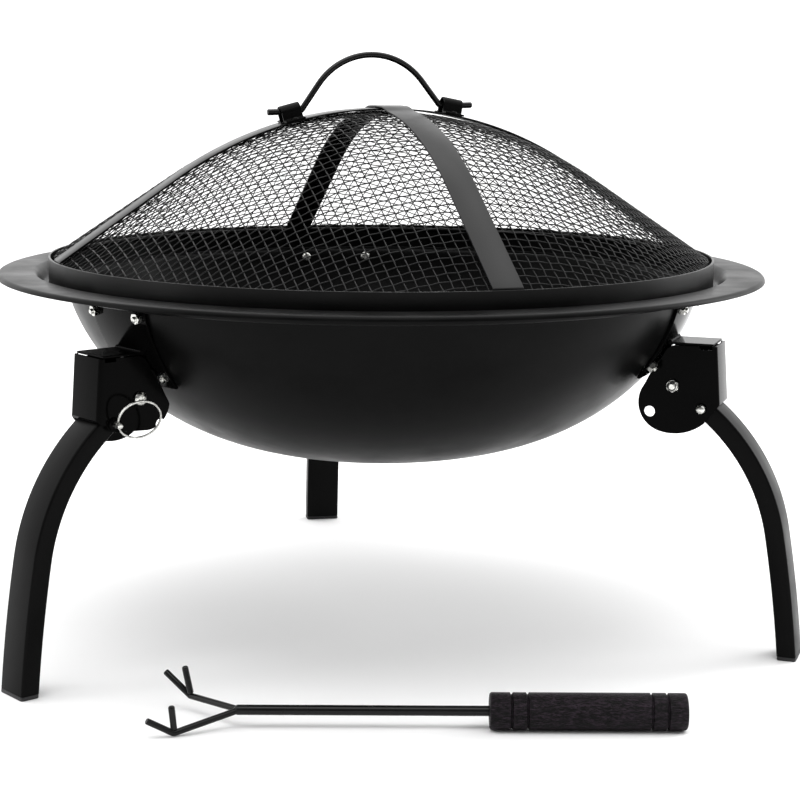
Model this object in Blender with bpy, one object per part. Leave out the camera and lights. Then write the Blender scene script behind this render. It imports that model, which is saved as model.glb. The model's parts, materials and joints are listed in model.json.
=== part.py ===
"""Folding steel fire bowl with a domed spark screen, three folding legs and a forked poker.

Metres, +Z up. The floor is z = 0 and the origin is the middle of the footprint box.
Pieces round the bowl are drawn in a station frame: X points outward from the bowl's axis,
Y runs along the rim and Z is up. Outlines are lists of (outward, up) points.
"""

import math

import bmesh
import bpy
from mathutils import Matrix, Vector

# Place of the bowl's axis, so that the footprint box is centred on the origin
BOWL_AXIS = (-0.0117, -0.0137)

# General
SHEET = 0.0015
GAP = 0.0003
ROUND_STEPS = 45
HALF_FACET = math.pi / ROUND_STEPS
BORE_STEPS = 12

# Bowl: the outer wall is a rounded profile, fuller than a ball and flat in the middle
RIM_RADIUS = 0.280
RIM_Z = 0.2648
WALL_RADIUS = 0.2311
WALL_TOP = 0.2590
WALL_DEPTH = 0.1307
SIDE_FULLNESS = 2.75
FLOOR_FULLNESS = 1.53
LOWER_STEPS = 5
LEDGE_Z = 0.2560
STEP_INNER = 0.2465
STEP_OUTER = 0.2550
STEP_POINTS = 2
LIP_DROP = 0.0032
LIP_ROUND = 0.0005

# Leg stations, anticlockwise from +X, and the name that each one gives its pieces
STATIONS = {"back": 100.0, "left": 220.0, "right": 340.0}

# Mount plates and their bolts
PLATE_HEIGHTS = (0.1988, 0.2034, 0.2136, 0.2300, 0.2444, 0.2532)
PLATE_SHEET = 0.0020
PLATE_FACETS = 2
TAB_ROOT = 0.0006
TAB_UNDER = 0.2216
TAB_TOP = 0.2232
TAB_END = 0.2500
TAB_HALF = 0.0165
BOLT_OUT = 0.0255
BOLT_HEIGHTS = (0.2085, 0.2488)
BOLT_RADIUS = 0.0020
BOLT_HEAD_RADIUS = 0.0040
BOLT_HEAD = 0.0024
MOUNT_NUT_RADIUS = 0.0040
MOUNT_NUT = 0.0034
BOLT_TAIL = 0.0018

# Housing: web and two side plates, folded from one sheet
HOUSING_HALF = 0.0175
HOUSING_SHEET = 0.0018
HOUSING_TOP = 0.2200
WEB_TOP_R = 0.2545
WEB_LOW_R = 0.2576
WEB_LOW_Z = 0.1804
FOLD_RADIUS = 0.0030
LOBE_RADIUS = 0.0343
LOBE_START = -49.5
LOBE_END = -105.0
HEEL_RADIUS = 0.0212
HEEL_END = -214.7
EAR_HEIGHTS = (0.2044, 0.2090, 0.2140)
EAR_CLEAR = 0.0030
EAR_CORNER = (0.2262, 0.2110)
EAR_CORNER_RADIUS = 0.0090

# The side plate by the pull ring is cut shorter: round the lock pin, then a smaller heel
SHORT_NOSE = 0.0056
SHORT_NOSE_ARC = (-5.0, -84.0)
SHORT_HEEL = (0.2194, 0.1887)
SHORT_HEEL_RADIUS = 0.0185
SHORT_HEEL_ARC = (-84.0, -180.0)
SHORT_EDGE_Z = 0.1800

# Pivot and lock
PIVOT = (0.2247, 0.1926)
PIVOT_RADIUS = 0.0025
PIVOT_BORE = 0.0028
PIVOT_HEAD_RADIUS = 0.0048
PIVOT_HEAD = 0.0028
PIVOT_NUT_RADIUS = 0.0046
PIVOT_NUT = 0.0042
LOCK_REACH = 0.0254
LOCK_TURN = -37.0
LOCK_RADIUS = 0.0034
LOCK_BORE = 0.00385
FOLD_ANGLE = 93.0
LOCK_TIP = -0.0212
LOCK_COLLAR = 0.0049
LOCK_COLLAR_THICK = 0.0014
LOCK_NECK = 0.0025
LOCK_EYE_AT = 0.0224
LOCK_END = 0.0258
EYE_BORE = 0.0015
EYE_AXIS = (0.335, 0.325, 0.885)

# Pull ring
RING_RADIUS = 0.0146
RING_WIRE = 0.0009
RING_HANG = (-0.910, 0.354, 0.214)
RING_STEPS = 24
RING_SIDES = 6

# Legs: rectangular tube, straight through the lock, bent, then nearly straight to the floor
TUBE_WIDTH = 0.0283
TUBE_DEPTH = 0.0135
TUBE_WALL = 0.0012
TUBE_CHAMFER = 0.0012
LEG_TOP_TURN = 53.1
LEG_BEND_TURN = 10.3
LEG_BEND_RADIUS = 0.1396
LEG_SHIN_RADIUS = 1.0
LEG_STRAIGHT = 0.0256
LEG_HEEL = 0.0100
BEND_STEPS = 8
SHIN_STEPS = 4
PIN_SLOT_TURN = 34.0
SOLE = 0.0025
PLUG = 0.0080
PLUG_SLACK = 0.0006

# Spark screen: a ball cap that runs out into a cone, with a hoop round its foot
HOOP_OUTER = 0.2433
HOOP_INNER = 0.2418
HOOP_BOTTOM = 0.2563
HOOP_TOP = 0.2753
HEM_RADIUS = 0.2368
HEM_Z = 0.2716
HEM_WIRE = 0.0020
DOME_APEX = 0.3785
DOME_RADIUS = 0.2765
DOME_SLOPE = 34.06
MESH_RADIUS = 0.2362
MESH_CELLS = 16
MESH_WIRE = 0.0024
MESH_AZIMUTH = 20.0

# Straps over the mesh
STRAP_WIDTH = 0.0250
STRAP_SHEET = 0.0012
STRAP_LIFT = 0.0024
CROSS_LIFT = 0.0043
CROSS_REACH = 0.0150
CROSS_RAMP = 0.0300
STRAP_RUNS = 9
STRAP_END_R = 0.2397
STRAP_END_Z = 0.2620
STRAP_AZIMUTHS = {"lid_strap_long": 20.0, "lid_strap_cross": 110.0}

# Bail handle and its two clips
HANDLE_OFFSET = -0.0085
HANDLE_WIRE = 0.00225
HANDLE_SIDES = 8
HANDLE_ARC_RADIUS = 0.0475
HANDLE_LEG_TURN = 50.0
HANDLE_RISE = 0.0387
HANDLE_TAIL = 0.0790
HANDLE_BEND = 0.0050
CLIP_AT = 0.0640
CLIP_LENGTH = 0.0150
CLIP_OUTER = 0.0055
CLIP_INNER = 0.0043
CLIP_HEIGHT = 0.0065
CLIP_FOOT = 0.0115
CLIP_SHEET = 0.0012
RIVET_OUT = 0.0086
RIVET_RADIUS = 0.0013
RIVET_HEAD_RADIUS = 0.0024
RIVET_HEAD = 0.0012

# Poker, lying in front of the bowl
POKER_APEX = (-0.0910, -0.2620, 0.0118)
POKER_WIRE = 0.0032
SHAFT_START = 0.0018
POKER_SHAFT = 0.1805
GRIP_START = 0.1609
GRIP_LENGTH = 0.1250
GRIP_RADIUS = 0.0118
GRIP_BORE = 0.0035
GRIP_GROOVES = (0.0138, 0.0240, 0.1024, 0.1124)
GROOVE_HALF = 0.0009
GROOVE_DEPTH = 0.0011
GRIP_ROUND = 0.0016
FORK_WIRE = 0.0021
FORK_ROOT = 0.0030
FORK_REACH = 0.0360
FORK_HALF = 0.0212
FORK_ROLL = 16.0
FORK_DROOP = 5.6
FORK_YAW = -7.9
FORK_ROUND = 0.0045
TINE_REACH = 0.0155
TINE_SPREAD = 0.0070
TINE_RISE = 0.0155
STUB_BASE = 0.0046
STUB_TOP = 0.0215
STUB_INSET = 0.0006
FORK_SIDES = 8

# Finishes: base colour, metallic, roughness
FINISHES = {
    "satin_black_steel": ((0.018, 0.018, 0.019), 0.0, 0.42),
    "gloss_black_steel": ((0.010, 0.010, 0.010), 0.0, 0.22),
    "mesh_black_steel": ((0.012, 0.012, 0.012), 0.0, 0.50),
    "zinc_plated_steel": ((0.62, 0.62, 0.60), 1.0, 0.28),
    "black_plastic": ((0.012, 0.012, 0.012), 0.0, 0.55),
    "stained_wood": ((0.040, 0.038, 0.040), 0.0, 0.70),
}


def clear_scene():
    for old in list(bpy.data.objects):
        bpy.data.objects.remove(old, do_unlink=True)


def finish_material(name, finish):
    colour, metallic, roughness = FINISHES[finish]
    made = bpy.data.materials.new(name + "_finish")
    made.use_nodes = True
    shader = made.node_tree.nodes["Principled BSDF"]
    shader.inputs["Base Color"].default_value = (*colour, 1.0)
    shader.inputs["Metallic"].default_value = metallic
    shader.inputs["Roughness"].default_value = roughness
    return made


def add_piece(name, mesh, finish, parent, place=(0.0, 0.0, 0.0)):
    """Add one sub-part, with its own finish, in its parent's frame."""
    mesh.name = name
    mesh.shade_smooth()
    mesh.set_sharp_from_angle(angle=math.radians(35.0))
    piece = bpy.data.objects.new(name, mesh)
    bpy.context.scene.collection.objects.link(piece)
    piece.parent = parent
    piece.location = place
    piece.data.materials.clear()
    piece.data.materials.append(finish_material(name, finish))
    return piece


def add_frame(name, parent, place=(0.0, 0.0, 0.0), turn=0.0):
    """Add an empty that carries pieces, turned about Z by an angle in degrees."""
    frame = bpy.data.objects.new(name, None)
    bpy.context.scene.collection.objects.link(frame)
    frame.parent = parent
    frame.location = place
    frame.rotation_euler = (0.0, 0.0, math.radians(turn))
    return frame


def to_mesh(shape):
    bmesh.ops.remove_doubles(shape, verts=shape.verts, dist=1e-6)
    bmesh.ops.recalc_face_normals(shape, faces=shape.faces)
    mesh = bpy.data.meshes.new("shape")
    shape.to_mesh(mesh)
    shape.free()
    return mesh


def combine(mesh, tools, operation="DIFFERENCE"):
    """Cut or join a mesh with a list of closed tool meshes."""
    body = bpy.data.objects.new("combined", mesh)
    bpy.context.scene.collection.objects.link(body)
    helpers = []
    for tool in tools:
        helper = bpy.data.objects.new("tool", tool)
        helper.hide_render = True
        helper.display_type = "WIRE"
        bpy.context.scene.collection.objects.link(helper)
        change = body.modifiers.new("combine", "BOOLEAN")
        change.operation = operation
        change.solver = "EXACT"
        change.object = helper
        helpers.append(helper)
    bpy.context.view_layer.update()
    seen = body.evaluated_get(bpy.context.evaluated_depsgraph_get())
    made = bpy.data.meshes.new_from_object(seen)
    for used in [body] + helpers:
        bpy.data.objects.remove(used, do_unlink=True)
    return made


def turned(mesh, matrix):
    mesh.transform(matrix)
    return mesh


def revolve(points, closed=False, steps=ROUND_STEPS):
    """Spin an outline of (radius, height) points a full turn about Z."""
    shape = bmesh.new()
    verts = [shape.verts.new((radius, 0.0, height)) for radius, height in points]
    edges = [shape.edges.new(pair) for pair in zip(verts, verts[1:])]
    if closed:
        edges.append(shape.edges.new((verts[-1], verts[0])))
    bmesh.ops.spin(shape, geom=verts + edges, axis=(0, 0, 1), cent=(0, 0, 0),
                   angle=math.tau, steps=steps, use_merge=True)
    return to_mesh(shape)


def sector(points, angle, steps):
    """Spin a closed outline through an angle in radians, half of it each side of the XZ plane."""
    shape = bmesh.new()
    face = shape.faces.new([shape.verts.new((r, 0.0, z)) for r, z in points])
    start = Matrix.Rotation(-angle / 2, 3, "Z")
    bmesh.ops.rotate(shape, verts=shape.verts, cent=(0, 0, 0), matrix=start)
    bmesh.ops.spin(shape, geom=list(face.verts) + list(face.edges) + [face], axis=(0, 0, 1),
                   cent=(0, 0, 0), angle=angle, steps=steps)
    return to_mesh(shape)


def grow(shape, face):
    """Extrude a face in place; a face that already caps a body leaves nothing inside it."""
    region = [face] + list(face.edges) + list(face.verts)
    grown = bmesh.ops.extrude_face_region(shape, geom=region)["geom"]
    verts = [item for item in grown if isinstance(item, bmesh.types.BMVert)]
    return verts, next(item for item in grown if isinstance(item, bmesh.types.BMFace))


def prism(points, low, high):
    """Extrude a closed outline of (X, Z) points along Y."""
    shape = bmesh.new()
    face = shape.faces.new([shape.verts.new((x, low, z)) for x, z in points])
    verts, _ = grow(shape, face)
    bmesh.ops.translate(shape, verts=verts, vec=(0.0, high - low, 0.0))
    return to_mesh(shape)


def cylinder(radius, start, end, steps=BORE_STEPS):
    """A closed cylinder between two points."""
    start, end = Vector(start), Vector(end)
    along = end - start
    turn = along.to_track_quat("Z", "Y").to_matrix().to_4x4()
    shape = bmesh.new()
    bmesh.ops.create_cone(shape, cap_ends=True, segments=steps, radius1=radius, radius2=radius,
                          depth=along.length, matrix=Matrix.Translation((start + end) / 2) @ turn)
    return to_mesh(shape)


def sweep(section, frames):
    """Extrude a closed section of (x, y) points through a list of frames."""
    shape = bmesh.new()
    face = shape.faces.new([shape.verts.new(frames[0] @ Vector((x, y, 0.0))) for x, y in section])
    for here, there in zip(frames, frames[1:]):
        verts, face = grow(shape, face)
        bmesh.ops.transform(shape, matrix=there @ here.inverted(), verts=verts)
    return to_mesh(shape)


def circle_section(radius, sides):
    turns = [math.tau * (step + 0.5) / sides for step in range(sides)]
    return [(radius * math.cos(turn), radius * math.sin(turn)) for turn in turns]


def box_section(width, depth, chamfer=0.0):
    """A rectangle, depth along x and width along y, with its corners cut off."""
    x, y = depth / 2, width / 2
    if not chamfer:
        return [(x, -y), (x, y), (-x, y), (-x, -y)]
    return [(x - chamfer, -y), (x, chamfer - y), (x, y - chamfer), (x - chamfer, y),
            (chamfer - x, y), (-x, y - chamfer), (-x, chamfer - y), (chamfer - x, -y)]


def path_frames(points):
    """Frames along a path, carried round its bends without twisting."""
    points = [Vector(point) for point in points]
    legs = [(b - a).normalized() for a, b in zip(points, points[1:])]
    tangents = [legs[0]] + [(a + b).normalized() for a, b in zip(legs, legs[1:])] + [legs[-1]]
    turn = tangents[0].to_track_quat("Z", "Y")
    frames = []
    for index, (point, tangent) in enumerate(zip(points, tangents)):
        if index:
            turn = tangents[index - 1].rotation_difference(tangent) @ turn
        frames.append(Matrix.Translation(point) @ turn.to_matrix().to_4x4())
    return frames


def rod(points, radius, sides):
    return sweep(circle_section(radius, sides), path_frames(points))


def rounded_path(corners, radius, steps=4):
    """A path of straight runs whose inner corners are rounded to a radius."""
    corners = [Vector(corner) for corner in corners]
    path = [corners[0]]
    for before, corner, after in zip(corners, corners[1:], corners[2:]):
        back, on = (before - corner).normalized(), (after - corner).normalized()
        half = back.angle(on) / 2
        centre = corner + (back + on).normalized() * radius / math.sin(half)
        start = corner + back * radius / math.tan(half)
        swing = math.pi - 2 * half
        axis = (start - centre).cross(back).normalized()
        for step in range(steps + 1):
            turn = Matrix.Rotation(-swing * step / steps, 3, axis)
            path.append(centre + turn @ (start - centre))
    return path + [corners[-1]]


def offset_line(points, distance):
    """Move an open outline sideways, to the right of its direction of travel."""
    points = [Vector(point) for point in points]
    sides = []
    for a, b in zip(points, points[1:]):
        run = (b - a).normalized()
        sides.append(Vector((run.y, -run.x)))
    moved = [points[0] + sides[0] * distance]
    for point, before, after in zip(points[1:], sides, sides[1:]):
        moved.append(point + (before + after) * distance / (1.0 + before.dot(after)))
    return moved + [points[-1] + sides[-1] * distance]


def wall_point(turn, out=0.0):
    """A point on the bowl's wall: turn runs from 0 at the bottom to 90 degrees at the top."""
    def place(angle):
        radius = WALL_RADIUS * max(math.sin(angle), 0.0) ** (2 / SIDE_FULLNESS)
        height = WALL_TOP - WALL_DEPTH * max(math.cos(angle), 0.0) ** (2 / FLOOR_FULLNESS)
        return Vector((radius, height))
    if turn <= 0.0:
        return Vector((0.0, place(0.0).y - out))
    small = 0.002
    run = (place(turn + small) - place(turn - small)).normalized()
    return place(turn) + Vector((run.y, -run.x)) * out


def wall_turn(height):
    return math.acos(((WALL_TOP - height) / WALL_DEPTH) ** (FLOOR_FULLNESS / 2))


def wall_at(height):
    return wall_point(wall_turn(height))


def make_bowl(parent):
    """Wall, ledge, step and flange as one sheet; facets line up with the leg stations."""
    low = wall_turn(PLATE_HEIGHTS[0])
    outside = [wall_point(low * step / LOWER_STEPS) for step in range(LOWER_STEPS)]
    outside += [wall_at(height) for height in PLATE_HEIGHTS + (LEDGE_Z - SHEET,)]
    for step in range(STEP_POINTS + 2):
        part = step / (STEP_POINTS + 1)
        rise = (1 - math.cos(math.pi * part)) / 2
        outside.append(Vector((STEP_INNER + (STEP_OUTER - STEP_INNER) * part,
                               LEDGE_Z - SHEET + (RIM_Z - LEDGE_Z) * rise)))
    lip = Vector((RIM_RADIUS - SHEET, RIM_Z - SHEET))
    outside += [lip - Vector((LIP_ROUND, 0.0)), lip - Vector((0.0, LIP_ROUND)),
                Vector((lip.x, RIM_Z - LIP_DROP))]
    inside = offset_line(outside, -SHEET)
    inside[0].x = 0.0
    bowl = revolve(inside + outside[::-1])
    bowl = turned(bowl, Matrix.Rotation(math.radians(STATIONS["back"]), 4, "Z"))
    holes = []
    for azimuth in STATIONS.values():
        for side, height in bolt_places():
            frame = bolt_frame(azimuth, side, height)
            holes.append(turned(cylinder(BOLT_RADIUS + GAP, (0, 0, -0.01), (0, 0, 0.01), 8), frame))
    return add_piece("bowl", combine(bowl, holes), "satin_black_steel", parent)


def bolt_places():
    return [(side, height) for side in (-1, 1) for height in BOLT_HEIGHTS]


def bolt_frame(azimuth, side, height):
    """Frame of a mount bolt on the wall's outer facet, with Z pointing straight out of it."""
    below = max(mark for mark in PLATE_HEIGHTS if mark < height)
    above = min(mark for mark in PLATE_HEIGHTS if mark > height)
    low, high = wall_at(below), wall_at(above)
    flat = math.cos(HALF_FACET)
    low.x, high.x = low.x * flat, high.x * flat
    spot = low.lerp(high, (height - below) / (above - below))
    along = (BOLT_OUT - spot.x * math.sin(HALF_FACET)) / flat
    tilt = math.atan2(high.y - low.y, low.x - high.x)
    return (Matrix.Rotation(math.radians(azimuth) + side * HALF_FACET, 4, "Z")
            @ Matrix.Translation((spot.x, side * along, spot.y)) @ Matrix.Rotation(tilt, 4, "Y"))


def mount_bolt_mesh():
    """Pan head inside the bowl, shank through the wall and plate, and a nut outside."""
    inner = -SHEET - GAP
    outer = GAP + PLATE_SHEET + GAP
    end = outer + MOUNT_NUT + BOLT_TAIL
    shank = revolve([(0.0, inner - BOLT_HEAD), (0.6 * BOLT_HEAD_RADIUS, inner - BOLT_HEAD),
                     (BOLT_HEAD_RADIUS, inner - 0.4 * BOLT_HEAD), (BOLT_HEAD_RADIUS, inner),
                     (BOLT_RADIUS, inner), (BOLT_RADIUS, end), (0.0, end)], steps=8)
    nut = cylinder(MOUNT_NUT_RADIUS, (0, 0, outer), (0, 0, outer + MOUNT_NUT), 6)
    return combine(shank, [nut], "UNION")


def make_mount_plate(name, station):
    line = [wall_at(height) for height in PLATE_HEIGHTS]
    section = offset_line(line, GAP) + offset_line(line, GAP + PLATE_SHEET)[::-1]
    plate = sector(section, PLATE_FACETS * 2 * HALF_FACET, PLATE_FACETS)
    root = wall_at(TAB_UNDER).x + TAB_ROOT
    tab = prism([(root, TAB_UNDER), (TAB_END, TAB_UNDER), (TAB_END, TAB_TOP),
                 (root + 0.001, TAB_TOP)], -TAB_HALF, TAB_HALF)
    plate = combine(plate, [tab], "UNION")
    holes = []
    for side, height in bolt_places():
        frame = bolt_frame(0.0, side, height)
        holes.append(turned(cylinder(BOLT_RADIUS + GAP, (0, 0, -0.005), (0, 0, 0.008), 8), frame))
    return add_piece("mount_plate_" + name, combine(plate, holes), "gloss_black_steel", station)


def polar(centre, radius, turn):
    angle = math.radians(turn)
    return (centre[0] + radius * math.cos(angle), centre[1] + radius * math.sin(angle))


def arc(centre, radius, start, end, steps):
    return [polar(centre, radius, start + (end - start) * step / steps) for step in range(steps + 1)]


def lock_spot(fold=0.0):
    """Where the lock pin's hole in the leg lies, in the station frame."""
    return polar(PIVOT, LOCK_REACH, LOCK_TURN - fold)


def web_radius(height, inset=0.0):
    part = (HOUSING_TOP - height) / (HOUSING_TOP - WEB_LOW_Z)
    return WEB_TOP_R + (WEB_LOW_R - WEB_TOP_R) * part - inset


def make_housing(name, station):
    ear = [tuple(wall_point(wall_turn(height), EAR_CLEAR)) for height in EAR_HEIGHTS]
    ear += arc(EAR_CORNER, EAR_CORNER_RADIUS, 145.0, 90.0, 3)
    heel = polar(PIVOT, LOBE_RADIUS - HEEL_RADIUS, LOBE_END)
    outline = [(WEB_TOP_R, HOUSING_TOP), (WEB_LOW_R, WEB_LOW_Z)]
    outline += arc(PIVOT, LOBE_RADIUS, LOBE_START, LOBE_END, 5)
    outline += arc(heel, HEEL_RADIUS, LOBE_END, HEEL_END, 7)[1:] + ear
    shell = bmesh.new()
    shell.from_mesh(prism(outline, -HOUSING_HALF, HOUSING_HALF))
    folds = [edge for edge in shell.edges
             if all(vert.co.x > WEB_TOP_R - GAP for vert in edge.verts)
             and abs(edge.verts[0].co.y - edge.verts[1].co.y) < GAP]
    bmesh.ops.bevel(shell, geom=folds, offset=FOLD_RADIUS, segments=3, profile=0.5,
                    affect="EDGES", material=-1)
    below, above = 0.150, 0.230
    room = [(web_radius(above, HOUSING_SHEET), above), (web_radius(below, HOUSING_SHEET), below),
            (0.185, below), (0.185, above)]
    inner = HOUSING_HALF - HOUSING_SHEET
    short = [(0.270, SHORT_EDGE_Z)] + arc(lock_spot(), SHORT_NOSE, *SHORT_NOSE_ARC, 4)
    short += arc(SHORT_HEEL, SHORT_HEEL_RADIUS, *SHORT_HEEL_ARC, 6)
    short += [(0.190, SHORT_HEEL[1]), (0.190, below), (0.270, below)]
    tools = [prism(room, -inner, inner), prism(short, inner / 2, 0.030)]
    for spot, radius in ((PIVOT, PIVOT_BORE), (lock_spot(), LOCK_BORE),
                         (lock_spot(FOLD_ANGLE), LOCK_BORE)):
        tools.append(cylinder(radius, (spot[0], -0.03, spot[1]), (spot[0], 0.03, spot[1])))
    return add_piece("housing_" + name, combine(to_mesh(shell), tools), "gloss_black_steel", station)


def along_y(mesh):
    """Turn a piece that was drawn along Z to point along +Y."""
    return turned(mesh, Matrix.Rotation(math.radians(-90.0), 4, "X"))


def make_pivot(name, station):
    head = HOUSING_HALF + GAP
    end = -HOUSING_HALF - GAP - PIVOT_NUT - 0.0018
    bolt = revolve([(0.0, end), (PIVOT_RADIUS, end), (PIVOT_RADIUS, head), (PIVOT_HEAD_RADIUS, head),
                    (PIVOT_HEAD_RADIUS, head + 0.4 * PIVOT_HEAD),
                    (0.6 * PIVOT_HEAD_RADIUS, head + PIVOT_HEAD), (0.0, head + PIVOT_HEAD)], steps=12)
    add_piece("pivot_bolt_" + name, along_y(bolt), "zinc_plated_steel", station,
              (PIVOT[0], 0.0, PIVOT[1]))
    face = -HOUSING_HALF - GAP
    nut = cylinder(PIVOT_NUT_RADIUS, (0, 0, face - PIVOT_NUT), (0, 0, face), 6)
    nut = combine(nut, [cylinder(PIVOT_BORE, (0, 0, face - 0.01), (0, 0, face + 0.01))])
    add_piece("pivot_nut_" + name, along_y(nut), "zinc_plated_steel", station,
              (PIVOT[0], 0.0, PIVOT[1]))


def eye_spot():
    spot = lock_spot()
    return Vector((spot[0], LOCK_EYE_AT, spot[1]))


def make_lock_pin(name, station):
    collar = HOUSING_HALF + GAP
    pin = revolve([(0.0, LOCK_TIP - 0.0012), (0.6 * LOCK_RADIUS, LOCK_TIP - 0.0008),
                   (LOCK_RADIUS, LOCK_TIP + 0.0006), (LOCK_RADIUS, collar), (LOCK_COLLAR, collar),
                   (LOCK_COLLAR, collar + LOCK_COLLAR_THICK), (LOCK_NECK, collar + LOCK_COLLAR_THICK),
                   (LOCK_NECK, LOCK_END - 0.0006), (LOCK_NECK - 0.0006, LOCK_END), (0.0, LOCK_END)],
                  steps=12)
    spot = lock_spot()
    across = Vector(EYE_AXIS).normalized() * 0.01
    centre = Vector((0.0, LOCK_EYE_AT, 0.0))
    hole = cylinder(EYE_BORE, centre - across, centre + across, 8)
    add_piece("lock_pin_" + name, combine(along_y(pin), [hole]), "zinc_plated_steel", station,
              (spot[0], 0.0, spot[1]))


def make_pull_ring(name, station):
    """The ring's wire passes through the eye along the eye's axis."""
    axis = Vector(EYE_AXIS).normalized()
    side = Vector(RING_HANG).cross(axis).normalized()
    out = axis.cross(side)
    turn = Matrix((out, axis, side)).transposed().to_4x4()
    section = [(RING_RADIUS + x, z) for x, z in circle_section(RING_WIRE, RING_SIDES)]
    ring = revolve(section, closed=True, steps=RING_STEPS)
    ring = turned(ring, Matrix.Translation(out * RING_RADIUS) @ turn)
    add_piece("pull_ring_" + name, ring, "zinc_plated_steel", station, eye_spot())


def leg_line():
    """Centre line of the leg as (outward, up, lean from the vertical), from its top to the floor."""
    lean = math.radians(LEG_TOP_TURN)
    run = Vector((math.sin(lean), -math.cos(lean)))
    pivot = Vector(PIVOT)
    line = [(*(pivot - run * LEG_HEEL), lean), (*(pivot + run * LEG_STRAIGHT), lean)]
    here = pivot + run * LEG_STRAIGHT
    for steps, radius, end in ((BEND_STEPS, LEG_BEND_RADIUS, math.radians(LEG_BEND_TURN)),
                               (SHIN_STEPS, LEG_SHIN_RADIUS, None)):
        if end is None:
            end = math.asin(math.sin(lean) - here.y / radius)
        for step in range(1, steps + 1):
            now = lean + (end - lean) * step / steps
            out = here.x + radius * (math.cos(now) - math.cos(lean))
            down = here.y - radius * (math.sin(lean) - math.sin(now))
            line.append((out, down, now))
        here, lean = Vector((line[-1][0], line[-1][1])), line[-1][2]
    return line


def leg_frames(line):
    """Sweep frames about the pivot: X out of the leg's face, Y along the rim."""
    frames = []
    for out, up, lean in line:
        turn = Matrix(((math.cos(lean), 0.0, math.sin(lean)), (0.0, 1.0, 0.0),
                       (math.sin(lean), 0.0, -math.cos(lean)))).to_4x4()
        turn[2][0], turn[2][2] = math.sin(lean), -math.cos(lean)
        frames.append(Matrix.Translation((out - PIVOT[0], 0.0, up - PIVOT[1])) @ turn)
    return frames


def make_leg(name, station):
    line = leg_line()
    foot_out, _, foot_lean = line[-1]
    end_z = SOLE + GAP
    line[-1] = (foot_out - end_z * math.tan(foot_lean), end_z, 0.0)
    frames = leg_frames(line)
    tube = sweep(box_section(TUBE_WIDTH, TUBE_DEPTH, TUBE_CHAMFER), frames)
    beyond = Matrix.Translation((0.0, 0.0, -0.003))
    past = Matrix.Translation((0.0, 0.0, 0.003))
    long_frames = [frames[0] @ beyond] + frames[1:-1] + [frames[-1] @ past]
    hollow = sweep(box_section(TUBE_WIDTH - 2 * TUBE_WALL, TUBE_DEPTH - 2 * TUBE_WALL), long_frames)
    reach = (-0.03, 0.03)
    pivot_hole = cylinder(PIVOT_BORE, (0, reach[0], 0), (0, reach[1], 0))
    slot = arc((0.0, 0.0), LOCK_REACH + LOCK_BORE, LOCK_TURN, LOCK_TURN + PIN_SLOT_TURN, 4)
    slot += arc((0.0, 0.0), LOCK_REACH - LOCK_BORE, LOCK_TURN + PIN_SLOT_TURN, LOCK_TURN, 4)
    end = polar((0.0, 0.0), LOCK_REACH, LOCK_TURN)
    slot += arc(end, LOCK_BORE, LOCK_TURN + 180.0, LOCK_TURN + 360.0, 6)[1:-1]
    tools = [hollow, pivot_hole, prism(slot, *reach)]
    add_piece("leg_" + name, combine(tube, tools), "satin_black_steel", station,
              (PIVOT[0], 0.0, PIVOT[1]))
    make_foot_cap(name, station, foot_out, foot_lean)


def make_foot_cap(name, station, foot_out, foot_lean):
    """A sole the size of the tube, with a plug that leans into it."""
    cap = bmesh.new()
    size = Matrix.Diagonal((TUBE_DEPTH, TUBE_WIDTH, SOLE, 1.0))
    bmesh.ops.create_cube(cap, size=1.0, matrix=Matrix.Translation((0, 0, SOLE / 2)) @ size)
    upper = next(face for face in cap.faces if face.normal.z > 0.9)
    bmesh.ops.inset_region(cap, faces=[upper], thickness=TUBE_WALL + PLUG_SLACK,
                           use_even_offset=True)
    verts, _ = grow(cap, upper)
    bmesh.ops.translate(cap, verts=verts, vec=(-PLUG * math.tan(foot_lean), 0.0, PLUG))
    add_piece("foot_cap_" + name, to_mesh(cap), "black_plastic", station,
              (foot_out, 0.0, 0.0))


def dome_point(distance, out=0.0):
    """A point of the dome's middle surface, by its distance from the axis, moved outward."""
    slope = math.radians(DOME_SLOPE)
    cap_edge = DOME_RADIUS * math.sin(slope)
    if abs(distance) <= cap_edge:
        lean = math.asin(distance / DOME_RADIUS)
        height = DOME_APEX - DOME_RADIUS * (1 - math.cos(lean))
    else:
        lean = math.copysign(slope, distance)
        cap_foot = DOME_APEX - DOME_RADIUS * (1 - math.cos(slope))
        height = cap_foot - (abs(distance) - cap_edge) * math.tan(slope)
    return Vector((distance + out * math.sin(lean), height + out * math.cos(lean)))


def make_screen_mesh(lid):
    """A square grid laid over the dome, cut to a circle, then turned into wires."""
    pitch = 2 * MESH_RADIUS / MESH_CELLS
    grid = bmesh.new()
    bmesh.ops.create_grid(grid, x_segments=MESH_CELLS, y_segments=MESH_CELLS, size=MESH_RADIUS)
    outer = [face for face in grid.faces
             if face.calc_center_median().xy.length > MESH_RADIUS - 0.35 * pitch]
    bmesh.ops.delete(grid, geom=outer, context="FACES")
    for vert in grid.verts:
        flat = vert.co.xy
        if vert.is_boundary or flat.length > MESH_RADIUS - 0.3 * pitch:
            flat = flat.normalized() * MESH_RADIUS
        vert.co = (flat.x, flat.y, dome_point(flat.length).y)
    turn = Matrix.Rotation(math.radians(MESH_AZIMUTH), 4, "Z")
    screen = add_piece("lid_mesh", turned(to_mesh(grid), turn), "mesh_black_steel", lid)
    wires = screen.modifiers.new("wires", "WIREFRAME")
    wires.thickness = MESH_WIRE
    wires.use_boundary = True
    wires.use_replace = True
    wires.use_even_offset = False
    wires.offset = 0.0


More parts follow.
